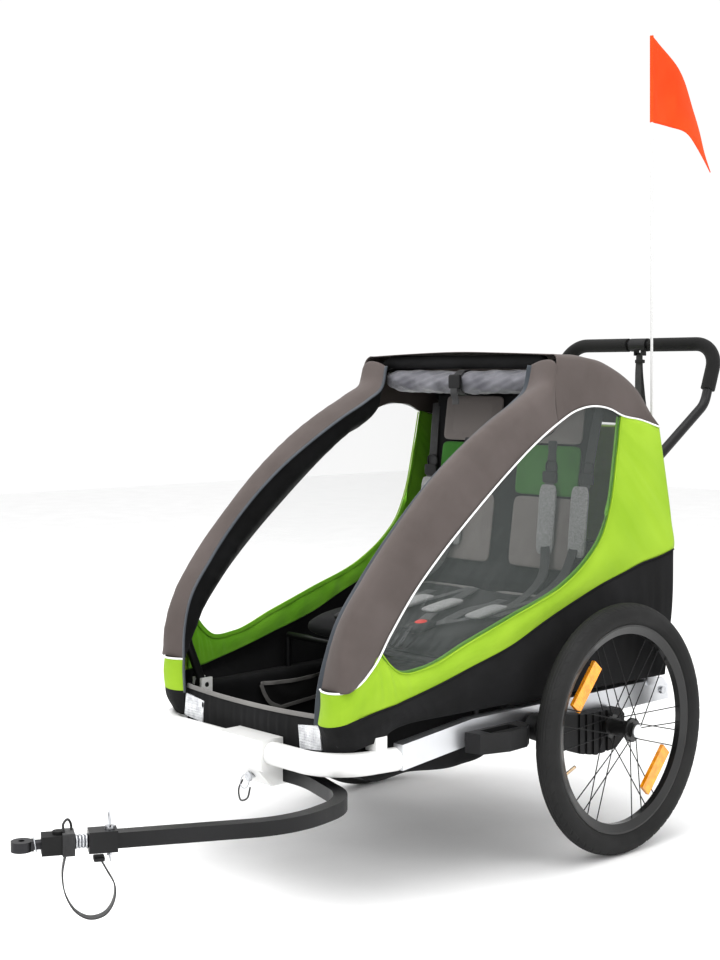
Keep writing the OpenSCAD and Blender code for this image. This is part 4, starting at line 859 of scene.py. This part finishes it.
END = np.array([195.0, -1150.0, 217.0])
HITCH_TURN = np.radians(-117.62)
AIM = np.array([np.cos(HITCH_TURN), np.sin(HITCH_TURN), 0.0])
ASIDE = np.array([-AIM[1], AIM[0], 0.0])


def hitch(s, w, z):
    """A point s past the tube's end, w aside and z above its middle."""
    return END + s * AIM + w * ASIDE + (0, 0, z)


loop = along([hitch(s, 3 * np.sin(s / 13), z) for s, z in
              [(36, -17), (41, -48), (35, -86), (18, -112), (-4, -124), (-26, -120), (-40, -100),
               (-42, -74), (-30, -50), (-19, -30)]], 90)
band = strap("safety_webbing", loop, 20, 2.4, WEBBING, "coupler", across=tuple(ASIDE))
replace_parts(band, "safety_strap")
wrap = [hitch(32, w, z) for w, z in [(18.6, -16.6), (18.6, 16.6), (-18.6, 16.6), (-18.6, -16.6)]]
edge = np.concatenate([np.linspace(wrap[k], wrap[(k + 1) % 4], 12, endpoint=False) for k in range(4)])
strap("safety_wrap", edge, 20, 2.2, WEBBING, "coupler", across=tuple(AIM), ring=True)
block("strap_clip", hitch(-17, 0, -29), (18, 24, 7), PLASTIC, "coupler", turn=HITCH_TURN)
cord = along([hitch(26, -6, 16), hitch(27, -10, 27), hitch(33, -3, 36), hitch(40, 5, 31), hitch(39, 7, 17)], 40)
tube("coupler_cord", cord, 2.0, WEBBING, "coupler", across=tuple(AIM))
ring = np.linspace(0, 2 * np.pi, 48, endpoint=False)
for n, (s, w, z, size, wire, part) in enumerate([
        (84, 0, 0, 11.5, 1.2, "tow_eye_head"), (-34, 0, -26, 9.0, 1.3, "chassis")]):
    path = np.array([hitch(s + 2 * np.sin(a), w + size * np.cos(a), z + size * np.sin(a)) for a in ring])
    tube("split_ring_" + str(n), path, wire, STEEL, part, across=tuple(AIM), ring=True)
rivet = [hitch(60, -17.8, 0), hitch(60, -16.4, 0)]
tube("block_rivet", np.linspace(rivet[0], rivet[1], 4), 4.2, STEEL, "coupler", across=(0, 0, 1))

# Lanyard and wire ring of the pin that holds the arm in its receiver
lanyard = along([(55, -722, 214), (49, -727, 196), (60, -730, 178), (73, -727, 183), (77, -722, 204)], 50)
tube("receiver_lanyard", lanyard, 1.6, WEBBING, "chassis", across=(1, 0, 0))
wire = np.array([(62 + 12 * np.cos(a), -723 + 3 * np.sin(a), 212 + 12 * np.sin(a)) for a in ring])
tube("receiver_ring", wire, 1.1, STEEL, "chassis", across=(0, 1, 0), ring=True)

# ---- Handle strap and flag ----

GRIP = np.array([555.34, 1038.49])
half = [(GRIP[0], GRIP[1] - 21), (GRIP[0] + 3, GRIP[1] - 60), (GRIP[0] + 8, GRIP[1] - 120),
        (GRIP[0] + 13.5, GRIP[1] - 176), (GRIP[0] + 12, GRIP[1] - 205), (GRIP[0], GRIP[1] - 214)]
other = [(2 * GRIP[0] - y, z) for y, z in half[::-1][1:]]
path = along([(2.5 * np.sin((z - GRIP[1]) / 38), y, z) for y, z in half + other], 110)
wrist = strap("wrist_webbing", path, 18, 2.2, WEBBING, "wrist_loop")
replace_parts(wrist, "wrist_strap")
for n, drop in enumerate((40, 150)):
    block("wrist_keeper_" + str(n), (0, GRIP[0], GRIP[1] - drop), (23, 13 + 7 * n, 9 + 5 * n), PLASTIC, "wrist_loop")

POLE_X, POLE_Y = 249.0, 268.0
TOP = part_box("flag_pole")[1].z * 1000 - 12
# The flag hangs between its upper and lower edges, both run from the pole out to the tip
top_edge = along([(0, 3.2, 0), (0, 44, -26), (0, 85, -56), (0, 141, -120), (0, 179, -194), (0, 225, -280)], 61)
low_edge = along([(0, 3.2, -190), (0, 66, -193), (0, 118, -202), (0, 160, -229), (0, 190, -252), (0, 222, -281)], 61)
share = np.linspace(0, 1, 25)[None, :, None]
grid = top_edge[:, None] * (1 - share) + low_edge[:, None] * share
out_by, down = grid[..., 1], grid[..., 2]
grid[..., 0] = (7 * np.clip(out_by / 90, 0, 1) * np.sin(out_by / 30 + down / 70)
                + 1.2 * np.sin(down / 17) * (out_by > 20))
grid += (POLE_X, POLE_Y, TOP)
flag = cloth("flag_cloth", grid, ORANGE, "safety_flag", (1, 0, 0), held="hung", on=["flag_pole"], thick=0.8,
             slot="orange_flag")
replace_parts(flag, "flag")
z = TOP - np.linspace(0, 190, 60)
sleeve = np.column_stack([np.full(60, POLE_X), np.full(60, POLE_Y), z])
tube("flag_sleeve", sleeve, 4.2, ORANGE, "safety_flag", across=(1, 0, 0), count=14)

# ---- Ground ----

ground = bpy.data.meshes.new("ground")
ground.from_pydata([(-9, -9, 0), (9, -9, 0), (9, 9, 0), (-9, 9, 0)], [], [(0, 1, 2, 3)])
ground.materials.append(GROUND.material)
floor_piece = bpy.data.objects.new("ground", ground)
bpy.context.scene.collection.objects.link(floor_piece)
